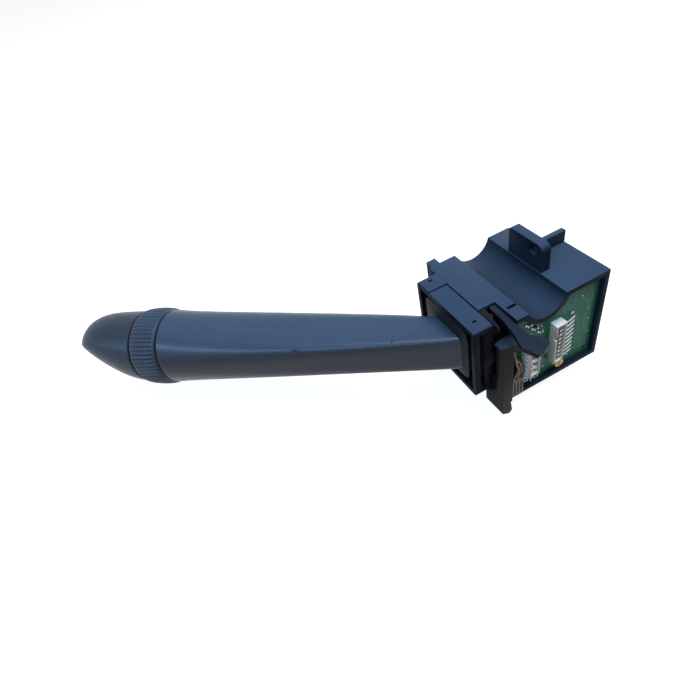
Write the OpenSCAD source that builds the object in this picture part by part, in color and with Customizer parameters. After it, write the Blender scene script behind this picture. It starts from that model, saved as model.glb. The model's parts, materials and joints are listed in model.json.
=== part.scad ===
/* [Housing] */
// Width of the housing along the saddle
body_width = 36; // [32:0.5:40]
// Height of the rear block
body_height = 35; // [32:0.5:38]
// Length of the block behind the ear's face
rear_length = 15.4; // [13:0.1:18]
// Length of the case in front of the ear's face
front_length = 23.4; // [22:0.1:25]
// How far the front block lies below the rear block
front_drop = 0.6; // [0.2:0.1:1.2]
// Radius of the saddle across the top
saddle_radius = 6.8; // [6:0.1:7.5]
// Height of the saddle's centre above the rear block
saddle_rise = 1.4; // [0.8:0.1:2]
// Wall of the moulded case
case_wall = 1.6; // [1.2:0.1:2]
// Length cut away at the far rear corner
corner_length = 7.4; // [5:0.1:9]
// Width of the full length part of the rear block
rear_width = 20.2; // [19:0.1:22]

/* [Ear] */
// Thickness of the screw ear
ear_thickness = 3.1; // [2.4:0.1:4]
// Width of the screw ear
ear_width = 14.8; // [13:0.1:17]
// Height of the ear above the rear block
ear_height = 9.1; // [8.6:0.1:10]
// Diameter of the screw hole
hole_diameter = 3.4; // [2.8:0.1:4]
// Distance from the open side to the screw hole
hole_inset = 14.9; // [13:0.1:17]
// Height of the screw hole above the rear block
hole_rise = 6.5; // [6:0.1:6.8]
// Distance from the ear's near end to the hole
hole_edge = 3.9; // [3.2:0.1:5]

/* [Front frame] */
// Depth of the frame round the lever
frame_depth = 6.6; // [5.5:0.1:8]
// Width of the frame
frame_width = 30; // [29:0.1:32]
// Height of the frame
frame_height = 27.6; // [26:0.1:29]
// Wall of the frame
frame_wall = 1.6; // [1.2:0.1:2]
// Thickness of the frame's front ring
frame_ring = 1.8; // [1.6:0.1:3]

/* [Lever] */
// Sweep of the lever away from the frame's normal
lever_sweep = 39; // [36:0.5:41]
// Fall of the lever below level
lever_drop = 1.8; // [0:0.1:4]
// Distance from the pivot to the selector ring
shell_end = 108.2; // [95:0.1:120]
// Width of the lever's root
root_width = 11; // [10.6:0.1:11.6]
// Height of the lever's root
root_height = 13.9; // [13.4:0.1:14.4]
// Diameter of the lever beside the ring
head_diameter = 27.2; // [26:0.1:27.6]
// Wall of the lever shell
shell_wall = 1.8; // [1.4:0.1:2.4]

/* [Ring and button] */
// Diameter over the ribs of the selector ring
ring_diameter = 29; // [28:0.1:30]
// Width of the selector ring
ring_width = 11.3; // [10.6:0.1:15]
// Number of ribs round the selector ring
rib_count = 58; // [40:1:72]
// Height of the ribs
rib_height = 0.45; // [0.3:0.05:0.7]
// How far the plain lip lies below the ribs
lip_step = 0.3; // [0.1:0.05:0.4]
// Length of the push button in front of the ring
button_length = 29.9; // [26:0.1:34]
// How far the ring stands out over the push button
button_step = 1.1; // [0.7:0.05:1.4]
// Travel of the push button
button_travel = 0.5; // [0.3:0.05:0.6]
// Gap between the push button and the ring
button_gap = 0.7; // [0.65:0.05:1]
// Gap between the shell and the ring
ring_gap = 0.4; // [0.3:0.05:0.6]
// Wall of the push button
button_wall = 1.6; // [1.2:0.1:2]

/* [Mechanism] */
// Radius of the turn carrier's journals
journal_radius = 2; // [1.6:0.1:2.2]
// Radius of the beam pin
beam_pin_radius = 1.5; // [1.2:0.1:2]
// Radial clearance of every running fit
running_gap = 0.05; // [0.03:0.01:0.08]
// Clear space beside sliding and swinging pieces
clear_gap = 0.4; // [0.3:0.05:0.5]
// Thickness of the circuit board
board_thickness = 1.6; // [1:0.1:2]

/* [Hidden] */
cut = 0.1;

// Places measured from the screw hole
near_y = -hole_inset;
far_y = near_y + body_width;
top_z = -hole_rise;
bottom_z = top_z - body_height;
rear_x = rear_length;
step_x = rear_x - corner_length;
step_y = near_y + rear_width;
front_x = -front_length;
front_top_z = top_z - front_drop;
frame_x = front_x - frame_depth;
frame_near_y = near_y + 2.6;
frame_far_y = frame_near_y + frame_width;
frame_bottom_z = front_top_z - frame_height;
frame_inner_near = frame_near_y + frame_wall;
frame_inner_far = frame_far_y - frame_wall;

// Saddle and bay
saddle_x = -saddle_radius - 0.1;
saddle_z = top_z + saddle_rise;
saddle_front_x = saddle_x - sqrt(pow(saddle_radius, 2) - pow(saddle_rise + front_drop, 2));
bay_x = saddle_front_x - 0.4;

// Board and what stands on it
board_near_y = near_y + 1.5;
board_far_y = board_near_y + board_thickness;
board_rim = 0.3;
board_left = bay_x - 3.2;
screw_spot = [saddle_x + 7.9, bottom_z + case_wall + 1.7];
screw_radius = 0.9;
screw_gap = 0.05;
peg_spot = [rear_x - 3.8, bottom_z + 3.6];
peg_radius = 0.85;
boss_length = 8;

// Pivot of the lever
pivot_x = frame_x + 5.5;
pivot_y = -3.7;
pivot_z = (front_top_z + frame_bottom_z) / 2 - 0.4;
lever_yaw = 180 - lever_sweep;

// Bearing strap in the open side of the frame
strap_low_y = frame_near_y + 0.7;
strap_high_y = strap_low_y + 1;
strap_half = 1.6;
strap_boss_radius = journal_radius + 0.6;

// Carrier, measured from the pivot
carrier_wall = 2;
carrier_near = strap_high_y + clear_gap + carrier_wall - pivot_y;
carrier_far = 8.5;
carrier_half = 6.2;
carrier_front = -1.6;
carrier_rear = 8.6;
far_journal_length = 3;

// Stations along the lever, measured from the pivot
ring_start = shell_end + ring_gap;
ring_end = ring_start + ring_width;
ring_middle = ring_start + ring_width / 2;
ring_root = ring_diameter / 2 - rib_height;
button_start = ring_end + button_gap;
button_radius = ring_diameter / 2 - button_step;
spigot_radius = ring_diameter / 2 - 5.95;
spigot_wall = 2;
spigot_bore = spigot_radius - spigot_wall;

function lerp(a, b, t) = a + (b - a) * t;
function smooth(t) = t * t * (3 - 2 * t);

// Points of a rounded rectangle, in even steps of angle
function superpoint(a, w, h, p) =
    let (c = cos(a), s = sin(a),
         r = pow(pow(abs(c), p) + pow(abs(s), p), -1 / p))
    [w / 2 * r * c, h / 2 * r * s];
function section(w, h, p, count) =
    [for (i = [0:count - 1]) superpoint(360 * i / count, w, h, p)];

// Faces between rows of points, and the lids at both ends
function side_faces(rows, n, base) = [for (r = [0:rows - 2]) for (i = [0:n - 1])
    let (a = base + r * n + i, b = base + r * n + (i + 1) % n)
    for (f = [[a, b + n, b], [a, a + n, b + n]]) f];
function flipped(faces) = [for (f = faces) [f[2], f[1], f[0]]];
function low_lid(n, base) = [[for (i = [0:n - 1]) base + i]];
function high_lid(n, base) = [[for (i = [0:n - 1]) base + n - 1 - i]];
function rim_faces(n, outer, inner) = [for (i = [0:n - 1]) let (j = (i + 1) % n)
    for (f = [[outer + i, outer + j, inner + j], [outer + i, inner + j, inner + i]]) f];
function flat_list(rings) = [for (ring = rings) for (p = ring) p];

// A closed skin through rings that all hold the same number of points
module skin(rings) {
    rows = len(rings);
    n = len(rings[0]);
    faces = concat(low_lid(n, 0), side_faces(rows, n, 0), high_lid(n, (rows - 1) * n));
    polyhedron(flat_list(rings), faces, convexity = 6);
}

// A wall between outer rings and inner rings, open at both ends
module hollow_skin(outer, inner) {
    rows = len(outer);
    n = len(outer[0]);
    inside = rows * n;
    last = (rows - 1) * n;
    faces = concat(side_faces(rows, n, 0), flipped(side_faces(rows, n, inside)),
                   rim_faces(n, 0, inside), flipped(rim_faces(n, last, inside + last)));
    polyhedron(concat(flat_list(outer), flat_list(inner)), faces, convexity = 6);
}

// A cup between outer rings and inner rings, open at the first ring and closed at the last
module cup_skin(outer, inner) {
    rows = len(outer);
    n = len(outer[0]);
    inside = rows * n;
    last = (rows - 1) * n;
    faces = concat(side_faces(rows, n, 0), flipped(side_faces(rows, n, inside)), rim_faces(n, 0, inside),
                   high_lid(n, last), low_lid(n, inside + last));
    polyhedron(concat(flat_list(outer), flat_list(inner)), faces, convexity = 6);
}

// A round wire along a list of points
module wire(path, radius, sides = 8) {
    count = len(path);
    rings = [for (i = [0:count - 1])
        let (a = path[max(i - 1, 0)], b = path[min(i + 1, count - 1)],
             d = (b - a) / norm(b - a),
             up = abs(d[2]) > 0.9 ? [1, 0, 0] : [0, 0, 1],
             u = cross(d, up) / norm(cross(d, up)), v = cross(d, u))
        [for (k = [0:sides - 1]) path[i] + radius * (cos(360 * k / sides) * u + sin(360 * k / sides) * v)]];
    skin(rings);
}

// Points on a smooth curve through a list of points
function curve_point(p0, p1, p2, p3, t) =
    0.5 * (2 * p1 + (p2 - p0) * t + (2 * p0 - 5 * p1 + 4 * p2 - p3) * t * t
           + (3 * p1 - p0 - 3 * p2 + p3) * t * t * t);
function smooth_path(p, steps) = let (last = len(p) - 1) concat(
    [for (i = [0:last - 1]) for (k = [0:steps - 1])
        curve_point(p[max(i - 1, 0)], p[i], p[i + 1], p[min(i + 2, last)], k / steps)],
    [p[last]]);

// A box with low and high corners
module box(low, high) translate(low) cube(high - low);

// An outline in X and Z, extruded along Y from low to high
module along_y(low, high) translate([0, high, 0]) rotate([90, 0, 0]) linear_extrude(high - low) children();

// An outline in Y and Z, extruded along X from low to high
module along_x(low, high) translate([low, 0, 0]) rotate([90, 0, 90]) linear_extrude(high - low) children();

// An outline in X and Y, extruded along Z from low to high
module along_z(low, high) translate([0, 0, low]) linear_extrude(high - low) children();

module rod_x(r, low, high) translate([low, 0, 0]) rotate([0, 90, 0]) cylinder(r = r, h = high - low, $fn = 48);
module rod_y(r, low, high) translate([0, high, 0]) rotate([90, 0, 0]) cylinder(r = r, h = high - low, $fn = 48);
module rod_z(r, low, high) translate([0, 0, low]) cylinder(r = r, h = high - low, $fn = 48);

module round_rect(low, high, r) {
    translate(low + [r, r]) offset(r = r, $fn = 32) square(high - low - [2 * r, 2 * r]);
}

module rounded(r) offset(r = r, $fn = 32) offset(delta = -r) children();

// A coil spring of round wire along +X
module coil_x(radius, wire_radius, low, high, turns) {
    steps = turns * 12;
    wire([for (i = [0:steps]) let (a = 360 * turns * i / steps)
        [lerp(low + wire_radius, high - wire_radius, i / steps), radius * cos(a), radius * sin(a)]], wire_radius, 6);
}

module at_pivot() translate([pivot_x, pivot_y, pivot_z]) children();
module along_lever() at_pivot() rotate([0, lever_drop, lever_yaw]) children();

// Side outline of the case, grown inwards by a wall
module case_outline(inset, rear) {
    difference() {
        offset(delta = -inset) polygon([
            [rear, top_z], [rear, bottom_z], [bay_x - 1, bottom_z],
            [bay_x - 3.4, frame_bottom_z], [front_x, frame_bottom_z], [front_x, front_top_z],
            [saddle_front_x, front_top_z], [saddle_front_x, top_z]]);
        translate([saddle_x, saddle_z]) circle(saddle_radius + inset, $fn = 96);
    }
}

// Notch in the front block's top for the finger and the bearing plate
notch_far_y = near_y + 10;
notch_right = bay_x - 3.6;
finger_edge = 0.35;
module notch_line(shift) {
    polygon([[front_x - cut, notch_far_y], [front_x + 2.7 + shift, notch_far_y],
             [front_x + 1.1 + shift, near_y + 0.7], [front_x - cut, near_y + 0.7]]);
}

module main_case() {
    pocket_right = plug_right + 0.2;
    boss_far_y = board_far_y + boss_length;
    tab_y = near_y + 5;
    tab_slit = 0.6;
    tab_notch = 1.1;
    color("#3f4a5c") {
        difference() {
            union() {
                along_y(near_y, step_y) case_outline(0, rear_x);
                along_y(step_y - cut, far_y) case_outline(0, step_x);
                // screw ear with a rounded near corner
                along_x(0, ear_thickness) hull() {
                    translate([-hole_edge, top_z - case_wall]) square([ear_width, case_wall]);
                    translate([-hole_edge + 2.4, top_z + ear_height - 2.4]) circle(2.4, $fn = 32);
                    translate([ear_width - hole_edge - 1, top_z + ear_height - 1]) circle(1, $fn = 32);
                }
                // low rib from the ear to the rear edge
                box([ear_thickness - cut, step_y - 1.8, top_z - case_wall], [rear_x, step_y, top_z + 4.2]);
                // guide rail on the far side
                box([front_x + 1.1, far_y - cut, front_top_z - 10], [front_x + 4.3, far_y + 3.1, front_top_z]);
            }
            // inside, open to the near side and to the front
            along_y(near_y - cut, step_y - case_wall) case_outline(case_wall, rear_x);
            along_y(step_y - case_wall - cut, far_y - case_wall) case_outline(case_wall, step_x);
            box([front_x - cut, near_y - cut, frame_bottom_z + case_wall],
                [front_x + case_wall + cut, frame_inner_far + cut, front_top_z - case_wall]);
            // corner that the guard and the plug fill
            box([front_x - cut, near_y - cut, bottom_z - cut],
                [pocket_right, guard_seat_y, frame_bottom_z + case_wall + cut]);
            // notch for the cancel finger and the bearing plate
            box([front_x - cut, near_y - cut, front_top_z - case_wall - cut], [notch_right, notch_far_y, top_z]);
            // slits of the snap tab
            box([notch_right + 0.9, tab_y, front_top_z - case_wall - cut],
                [saddle_front_x + tab_slit, tab_y + tab_notch, top_z]);
            box([saddle_front_x, tab_y - 2, front_top_z - case_wall - cut],
                [saddle_front_x + tab_slit, tab_y + tab_notch, top_z]);
            // screw hole
            rod_x(hole_diameter / 2, -1, ear_thickness + 1);
        }
        // boss for the board's screw
        translate([screw_spot[0], 0, screw_spot[1]]) difference() {
            rod_y(2.3, board_far_y, boss_far_y);
            rod_y(screw_radius + screw_gap, board_far_y - cut, boss_far_y - 1);
        }
        // peg that locates the board, on a boss with a rib to the floor
        translate([peg_spot[0], 0, peg_spot[1]]) {
            rod_y(peg_radius, board_near_y + 0.4, boss_far_y);
            rod_y(2, board_far_y, boss_far_y);
            box([-0.7, board_far_y, bottom_z + case_wall - cut - peg_spot[1]], [0.7, boss_far_y, 0]);
        }
        // ears for the finger's pin
        for (x = [finger_x - 3.1, finger_x + 1.7]) difference() {
            union() {
                box([x, finger_pin_y - 2, finger_pin_z - 1.7], [x + 1.3, notch_far_y + 1, front_top_z - case_wall]);
                box([x, notch_far_y, finger_pin_z], [x + 1.3, notch_far_y + 1, front_top_z - case_wall + cut]);
            }
            translate([0, finger_pin_y, finger_pin_z]) rod_x(finger_pin_radius, x - cut, x + 1.4);
        }
    }
}

module front_frame() {
    inner_low_z = frame_bottom_z + frame_wall;
    inner_high_z = front_top_z - frame_wall;
    tab_y = frame_far_y - 7.2;
    boss_y = pivot_y + carrier_far + carrier_wall + clear_gap;
    boss_radius = journal_radius + 1.4;
    color("#39445a") {
        difference() {
            union() {
                along_x(frame_x, front_x) round_rect([frame_near_y, frame_bottom_z], [frame_far_y, front_top_z], 1);
                box([frame_x, tab_y, front_top_z - 1], [front_x, frame_far_y - 1, front_top_z + 0.5]);
            }
            box([frame_x - cut, frame_inner_near, inner_low_z], [front_x + cut, frame_inner_far, inner_high_z]);
            // open near side behind the front ring
            box([frame_x + frame_ring, frame_near_y - cut, inner_low_z],
                [front_x + cut, frame_inner_near + cut, inner_high_z]);
            // snap slots in the top strip
            for (y = [frame_near_y + 4, frame_far_y - 3.2])
                box([frame_x + 2.6, y, inner_high_z - cut], [frame_x + 4, y + 0.7, front_top_z + 1]);
        }
        // boss for the far journal, flat in front where the lever swings
        difference() {
            at_pivot() rod_y(boss_radius, boss_y - pivot_y, frame_inner_far - pivot_y + cut);
            at_pivot() rod_y(journal_radius + running_gap, boss_y - pivot_y - cut,
                boss_y - pivot_y + far_journal_length);
            box([frame_x, boss_y - 1, pivot_z - boss_radius - 1],
                [pivot_x - journal_radius - 0.3, frame_inner_far, pivot_z + boss_radius + 1]);
        }
    }
}

// Plate with the near bearing, and its flange in the notch
module bearing_plate() {
    low_z = frame_bottom_z + frame_wall;
    high_z = front_top_z - frame_wall;
    flange_z = front_top_z - 0.2;
    color("#2f3848") difference() {
        union() {
            box([pivot_x - strap_half, strap_low_y, low_z], [pivot_x + strap_half, strap_high_y, high_z]);
            at_pivot() rod_y(strap_boss_radius, frame_near_y + 0.1 - pivot_y, strap_high_y - pivot_y);
            box([front_x + 0.1, strap_low_y, high_z - 3.3], [pivot_x + 2.5, strap_high_y, high_z + cut]);
            along_z(high_z, flange_z) intersection() {
                notch_line(-finger_edge);
                translate([front_x + 0.1, near_y]) square([4, notch_far_y - near_y - 0.2]);
            }
        }
        at_pivot() rod_y(journal_radius + running_gap, frame_near_y - pivot_y, strap_high_y - pivot_y + cut);
    }
}

// Curved guard beside the wire plug, with a sloping cap, a rim and a locating tongue
guard_x = pivot_x + 8;
guard_y = near_y + 10.9;
guard_radius = 11.9;
guard_wall = 1.3;
guard_seat_y = near_y + 3.7;
guard_rim = guard_x - 2.8;
guard_top = pivot_z + 5.6;
guard_left = front_x + 0.8;
module cable_guard() {
    low = bottom_z;
    cap_end = plug_right + 0.1;
    near = near_y - 2;
    color("#4a4b4d") intersection() {
        translate([guard_x, guard_y, 0]) rod_z(guard_radius, low - 8, guard_top + 1);
        union() {
            difference() {
                along_y(near, guard_seat_y - 0.1) rounded(0.5) polygon([
                    [guard_left, guard_top - 0.6], [guard_rim, guard_top], [guard_rim, low],
                    [guard_rim + 0.6, low - 5], [guard_rim - 0.4, low - 6.6], [guard_rim - 2.4, low - 6.4],
                    [guard_rim - 4.4, low - 2], [front_x - 2.2, low + 2], [front_x - 2.2, frame_bottom_z - 0.4],
                    [front_x + 0.2, frame_bottom_z - 0.2], [guard_left - 0.2, frame_bottom_z + 5]]);
                translate([guard_x, guard_y, 0]) rod_z(guard_radius - guard_wall, low - 9, guard_top - guard_wall);
            }
            // rim that stands back to the plug
            box([guard_rim - 0.5, near, low - 0.5], [guard_rim + 0.55, board_near_y, guard_top - 0.5]);
            // cap over the wires
            box([guard_rim - 0.4, near, guard_top - guard_wall], [board_left - 0.1, guard_seat_y - 0.1, guard_top]);
            along_y(near, board_near_y) polygon([
                [guard_rim - 0.4, guard_top], [cap_end, guard_top - 4.6], [cap_end, guard_top - 5.9],
                [guard_rim + 0.5, guard_top - guard_wall], [guard_rim - 0.4, guard_top - guard_wall]]);
        }
    }
}

module circuit_board() {
    color("#1f5b46") along_y(board_near_y, board_far_y) difference() {
        offset(delta = -board_rim) case_outline(case_wall, rear_x);
        translate([front_x - 1, bottom_z]) square([board_left - front_x + 1, body_height]);
        translate([board_left - 1, bottom_z]) square([plug_right + 0.2 - board_left + 1, plug_top - bottom_z + 1.4]);
        translate(screw_spot) circle(screw_radius + screw_gap, $fn = 32);
        translate(peg_spot) circle(peg_radius + screw_gap, $fn = 32);
    }
}

// Small surface parts on the near face of the board
module board_components() {
    // place along X, height, length and width of each
    spots = [[bay_x + 4.3, top_z - 9.6, 1.6, 0.9], [bay_x + 6.4, top_z - 12.2, 1.2, 0.8],
             [bay_x + 2.7, top_z - 12.4, 0.9, 1.6], [bay_x + 1.9, top_z - 7, 1.4, 0.8],
             [bay_x + 2.6, bottom_z + 4.2, 1.8, 0.9], [bay_x + 5.4, bottom_z + 4.6, 1.2, 0.8],
             [bay_x + 5.6, bottom_z + 2.6, 1.6, 0.8]];
    height = 0.6;
    color("#8d8f86") for (s = spots)
        box([s[0] - s[2] / 2, board_near_y - height, s[1] - s[3] / 2],
            [s[0] + s[2] / 2, board_near_y, s[1] + s[3] / 2]);
}

// Tall nine way header
main_ways = 9;
main_pitch = 1.8;
main_left = saddle_x + 3.1;
main_width = 3.9;
main_depth = 2.9;
main_end = 1;
main_length = (main_ways - 1) * main_pitch + 2 * main_end;
main_top = bottom_z + 7.8 + main_length;
main_near_y = board_near_y - main_depth;
header_wall = 0.7;
header_floor = 0.9;
leg_y = main_near_y + 0.6;
leg_reach = 4.2;
leg_thickness = 0.45;

module main_connector() {
    right = main_left + main_width;
    low = main_top - main_length;
    color("#d9d3c6") difference() {
        box([main_left, main_near_y, low], [right, board_near_y, main_top]);
        box([main_left + header_wall, main_near_y - cut, low + header_wall],
            [right - header_wall, board_near_y - header_floor, main_top - header_wall]);
        // notch for the key of the mating plug
        box([main_left - cut, main_near_y - cut, main_top - 6],
            [main_left + header_wall + cut, main_near_y + 1, main_top - 4.6]);
        // slots that the pins leave by
        for (i = [0:main_ways - 1]) box([right - header_wall - cut, leg_y - 0.02, main_pin_z(i) - pin_half - 0.02],
            [right + cut, leg_y + leg_thickness + 0.02, main_pin_z(i) + pin_half + 0.02]);
    }
}
pin_half = 0.25;
function main_pin_z(i) = main_top - main_end - i * main_pitch;

module main_connector_pins() {
    x = main_left + main_width;
    post = main_left + main_width / 2;
    color("#c8ccd0") for (i = [0:main_ways - 1]) {
        along_y_slice(main_pin_z(i)) polygon([
            [post - pin_half, leg_y], [x + 0.2, leg_y], [x + leg_reach, leg_y + 0.9],
            [x + leg_reach + 0.5, board_near_y], [x + leg_reach, board_near_y],
            [x + leg_reach - 0.4, leg_y + 1.3], [x + 0.1, leg_y + leg_thickness],
            [post - pin_half, leg_y + leg_thickness]]);
        box([post - pin_half, leg_y - 0.2, main_pin_z(i) - pin_half],
            [post + pin_half, board_near_y - header_floor, main_pin_z(i) + pin_half]);
    }
}
module along_y_slice(z) translate([0, 0, z - pin_half]) linear_extrude(2 * pin_half) children();

// Four way header beside the guard
lamp_ways = 4;
lamp_pitch = 2.5;
lamp_left = bay_x - 0.3;
lamp_width = 4.8;
lamp_depth = 3.2;
lamp_top = pivot_z - 0.8;
lamp_length = (lamp_ways - 1) * lamp_pitch + 4;
function lamp_pin_z(i) = lamp_top - 2 - i * lamp_pitch;

module lamp_connector() {
    low = lamp_top - lamp_length;
    color("#e4e0d8") difference() {
        box([lamp_left, board_near_y - lamp_depth, low], [lamp_left + lamp_width, board_near_y, lamp_top]);
        box([lamp_left + header_wall, board_near_y - lamp_depth - cut, low + header_wall],
            [lamp_left + lamp_width - header_wall, board_near_y - header_floor, lamp_top - header_wall]);
        for (i = [0:lamp_ways - 1])
            box([lamp_left - cut, board_near_y - lamp_depth - cut, lamp_pin_z(i) - 0.5],
                [lamp_left + header_wall + cut, board_near_y - lamp_depth + 1.4, lamp_pin_z(i) + 0.5]);
    }
}

module lamp_connector_pins() {
    x = lamp_left + lamp_width / 2;
    color("#c8ccd0") for (i = [0:lamp_ways - 1])
        box([x - pin_half, board_near_y - lamp_depth + 0.6, lamp_pin_z(i) - pin_half],
            [x + pin_half, board_near_y - header_floor, lamp_pin_z(i) + pin_half]);
}

// Plug on the ends of the lever's wires
plug_left = bay_x - 4.9;
plug_right = plug_left + 4.4;
plug_top = bottom_z + 8.4;
plug_low = bottom_z + 0.6;
plug_near_y = near_y - 0.5;
plug_far_y = guard_seat_y - 0.3;
module wire_plug() {
    color("#b9b8b4") difference() {
        box([plug_left, plug_near_y, plug_low], [plug_right, plug_far_y, plug_top]);
        for (i = [0, 1, 2]) let (x = plug_left + 0.8 + i * 1.2)
            box([x, plug_near_y - cut, plug_low + 1], [x + 0.5, plug_near_y + 0.6, plug_top - 1.2]);
    }
}

wire_radius = 0.45;
module bay_wires() {
    color("#b5703a") for (i = [0:3]) {
        x = plug_left + 0.8 + 0.6 * i + (i > 1 ? 0.3 : 0);
        y = near_y - 0.05 + 0.95 * (i % 2);
        lean = 1.7 - 0.27 * i;
        wire(smooth_path([[x, y, plug_top], [x, y, plug_top + 1.1], [x + 0.6 * lean, y, plug_top + 2.8],
                          [x + lean, y, plug_top + 4.6], [x + 0.5 * lean, y + 0.1, plug_top + 7.2],
                          [guard_rim + 1.9, y + 0.7 - 0.4 * i, plug_top + 9.4],
                          [guard_rim + 1.25, y + 2.7 - 1.1 * i, guard_top - 3.6]], 3), wire_radius);
    }
}

// Brass screw that holds the board
module board_screws() {
    head = 0.9;
    color("#b08d57") translate([screw_spot[0], board_near_y, screw_spot[1]]) difference() {
        union() {
            rod_y(1.6, -head, 0);
            rod_y(screw_radius, -cut, board_thickness + boss_length - 2);
        }
        for (a = [0, 90]) rotate([0, a, 0]) box([-1, -head - cut, -0.2], [1, -head + 0.4, 0.2]);
    }
}

// Frame behind the board that guides the turn slider
slide_arm = 17;
slide_x = pivot_x + slide_arm;
slide_half = 4.6;
slide_side = 3;
slide_low_y = board_far_y + 0.6;
slide_high_y = slide_low_y + 2.6;
slide_travel = slide_arm * sin(9) + 0.2;
slide_trim = 1.4;
module contact_frame() {
    rail = 1.4;
    half = slide_half + slide_travel;
    side = slide_side + clear_gap / 2;
    color("#c9c4b4") difference() {
        box([slide_x - side - rail, board_far_y, pivot_z - half - rail],
            [slide_x + side + rail, slide_high_y, pivot_z + half + rail - slide_trim]);
        box([slide_x - side, board_far_y - cut, pivot_z - half],
            [slide_x + side, slide_high_y + cut, pivot_z + half - slide_trim]);
    }
}

drive_pin_radius = 1.2;
module turn_slider() {
    groove = drive_pin_radius + 0.1;
    color("#e0dccf") difference() {
        box([slide_x - slide_side, slide_low_y, pivot_z - slide_half],
            [slide_x + slide_side, slide_high_y, pivot_z + slide_half - slide_trim]);
        box([slide_x - 2, slide_low_y + 0.8, pivot_z - groove], [slide_x + 2, slide_high_y + cut, pivot_z + groove]);
    }
}

module turn_wipers() {
    color("#c9a24a") for (s = [-1, 1])
        box([slide_x + s * 1.6 - 0.5, board_far_y + 0.1, pivot_z - 4],
            [slide_x + s * 1.6 + 0.5, slide_low_y, pivot_z + 3]);
}

// Track that holds the lever at left, centre and right, on a foot at the rear wall
cam_radius = 24;
turn_angle = 9;
module turn_cam() {
    track = 4;
    half = 7;
    foot_x = rear_x - case_wall - pivot_x;
    color("#d8d4c8") at_pivot() {
        along_y(-4, 4) intersection() {
            difference() {
                circle(cam_radius + track, $fn = 128);
                circle(cam_radius, $fn = 128);
                for (a = [-turn_angle, 0, turn_angle])
                    rotate(a) translate([cam_radius - 0.5, 0]) circle(1.6, $fn = 32);
            }
            translate([0, -half]) square([cam_radius + track + 1, 2 * half]);
        }
        box([cam_radius + track - 1, -1.2, -half + 1], [foot_x, 1.2, half - 1]);
        box([foot_x - 1.5, -5, -half - 1], [foot_x, 5, half + 1]);
    }
}

// Spring loaded finger that cancels the signal
finger_x = front_x + 4.2;
finger_pin_y = notch_far_y - 2;
finger_pin_z = front_top_z - 2.7;
finger_pin_radius = 0.8;
finger_slope = 3.9;
finger_hub = 1.6;
module cancel_finger() {
    thick = 1.6;
    color("#4b566a") translate([0, finger_pin_y, finger_pin_z]) rotate([finger_slope, 0, 0]) difference() {
        union() {
            translate([0, -finger_pin_y, 2.3 - thick]) linear_extrude(thick) rounded(0.6) polygon([
                [front_x + 3.5, notch_far_y - 0.5], [front_x + 5.3, notch_far_y - 0.5], [front_x + 5.5, near_y + 3],
                [front_x + 5.4, near_y - 1], [front_x + 5.6, near_y - 4.1], [front_x + 6.3, near_y - 5.7],
                [front_x + 7.8, near_y - 7.5], [front_x + 8.4, near_y - 9.2], [front_x + 8, near_y - 10.6],
                [front_x + 5.6, near_y - 11.6], [front_x + 3, near_y - 11.8], [front_x + 1.3, near_y - 7.6],
                [front_x + 2.7, near_y - 2.2], [front_x + 3.5, near_y + 3]]);
            rod_x(finger_hub, finger_x - 0.6, finger_x + 0.6);
            box([finger_x - 0.6, -0.6, 0], [finger_x + 0.6, 0.6, 1]);
        }
        rod_x(finger_pin_radius + running_gap, finger_x - 3, finger_x + 3);
        // room for the spring
        rod_x(finger_hub + 0.1, finger_x + 0.6, finger_x + 1.8);
    }
}
module cancel_pin() {
    color("#aeb4ba") translate([0, finger_pin_y, finger_pin_z])
        rod_x(finger_pin_radius, finger_x - 3.1, finger_x + 3);
}
module cancel_spring() {
    color("#8f969c") translate([finger_x, finger_pin_y, finger_pin_z]) coil_x(1.2, 0.13, 0.65, 1.65, 2);
}

// Rocking block that carries the lever
tail_end = slide_arm + 1.5;
tail_radius = 3.4;
plunger_radius = 2;
module turn_carrier() {
    near = carrier_near;
    far = carrier_far;
    h = carrier_half;
    w = carrier_wall;
    hub = 3;
    color("#6c6f74") at_pivot() difference() {
        union() {
            difference() {
                box([carrier_front, near - w, -h - w], [carrier_rear + w, far + w, h + w]);
                box([carrier_front - 3, near, -h], [carrier_rear, far, h]);
            }
            for (z = [-h - w, h]) hull() {
                rod_z(hub, z, z + w);
                translate([0, -hub, z]) cube([4, 2 * hub, w]);
            }
            rod_y(journal_radius, frame_near_y - 0.1 - pivot_y, near - w + cut);
            rod_y(journal_radius, far + w - cut, far + w + far_journal_length);
            // tail with the plunger's bore and the drive pin
            rod_x(tail_radius, carrier_rear + w - cut, tail_end);
            translate([slide_arm, 0, 0]) rod_y(drive_pin_radius, slide_low_y - pivot_y + 1.2, 0);
        }
        rod_z(beam_pin_radius, -h - w - cut, h + w + cut);
        rod_x(plunger_radius + running_gap, carrier_rear + w + 0.8, tail_end + cut);
    }
}

plunger_nose = cam_radius - 0.35;
plunger_start = plunger_nose - 7.5;
module turn_plunger() {
    nose = 1.2;
    color("#b8bcc0") at_pivot() {
        rod_x(plunger_radius, plunger_start, plunger_nose - nose);
        translate([plunger_nose - nose, 0, 0]) sphere(r = nose, $fn = 32);
    }
}
module turn_plunger_spring() {
    color("#8f969c") at_pivot() coil_x(1.4, 0.25, carrier_rear + carrier_wall + 0.8, plunger_start, 4);
}

// Track inside the carrier that returns the lever from flashing
module beam_cam() {
    side = -carrier_near - 0.1;
    color("#d8d4c8") at_pivot() difference() {
        box([carrier_rear - 1.4, -side, -3.4], [carrier_rear, side, 3.4]);
        translate([carrier_rear - 3, 0, 0]) rod_z(2.4, -4, 4);
    }
}

module beam_pin() {
    color("#aeb4ba") at_pivot() rod_z(beam_pin_radius, -carrier_half - carrier_wall, carrier_half + carrier_wall);
}

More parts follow.
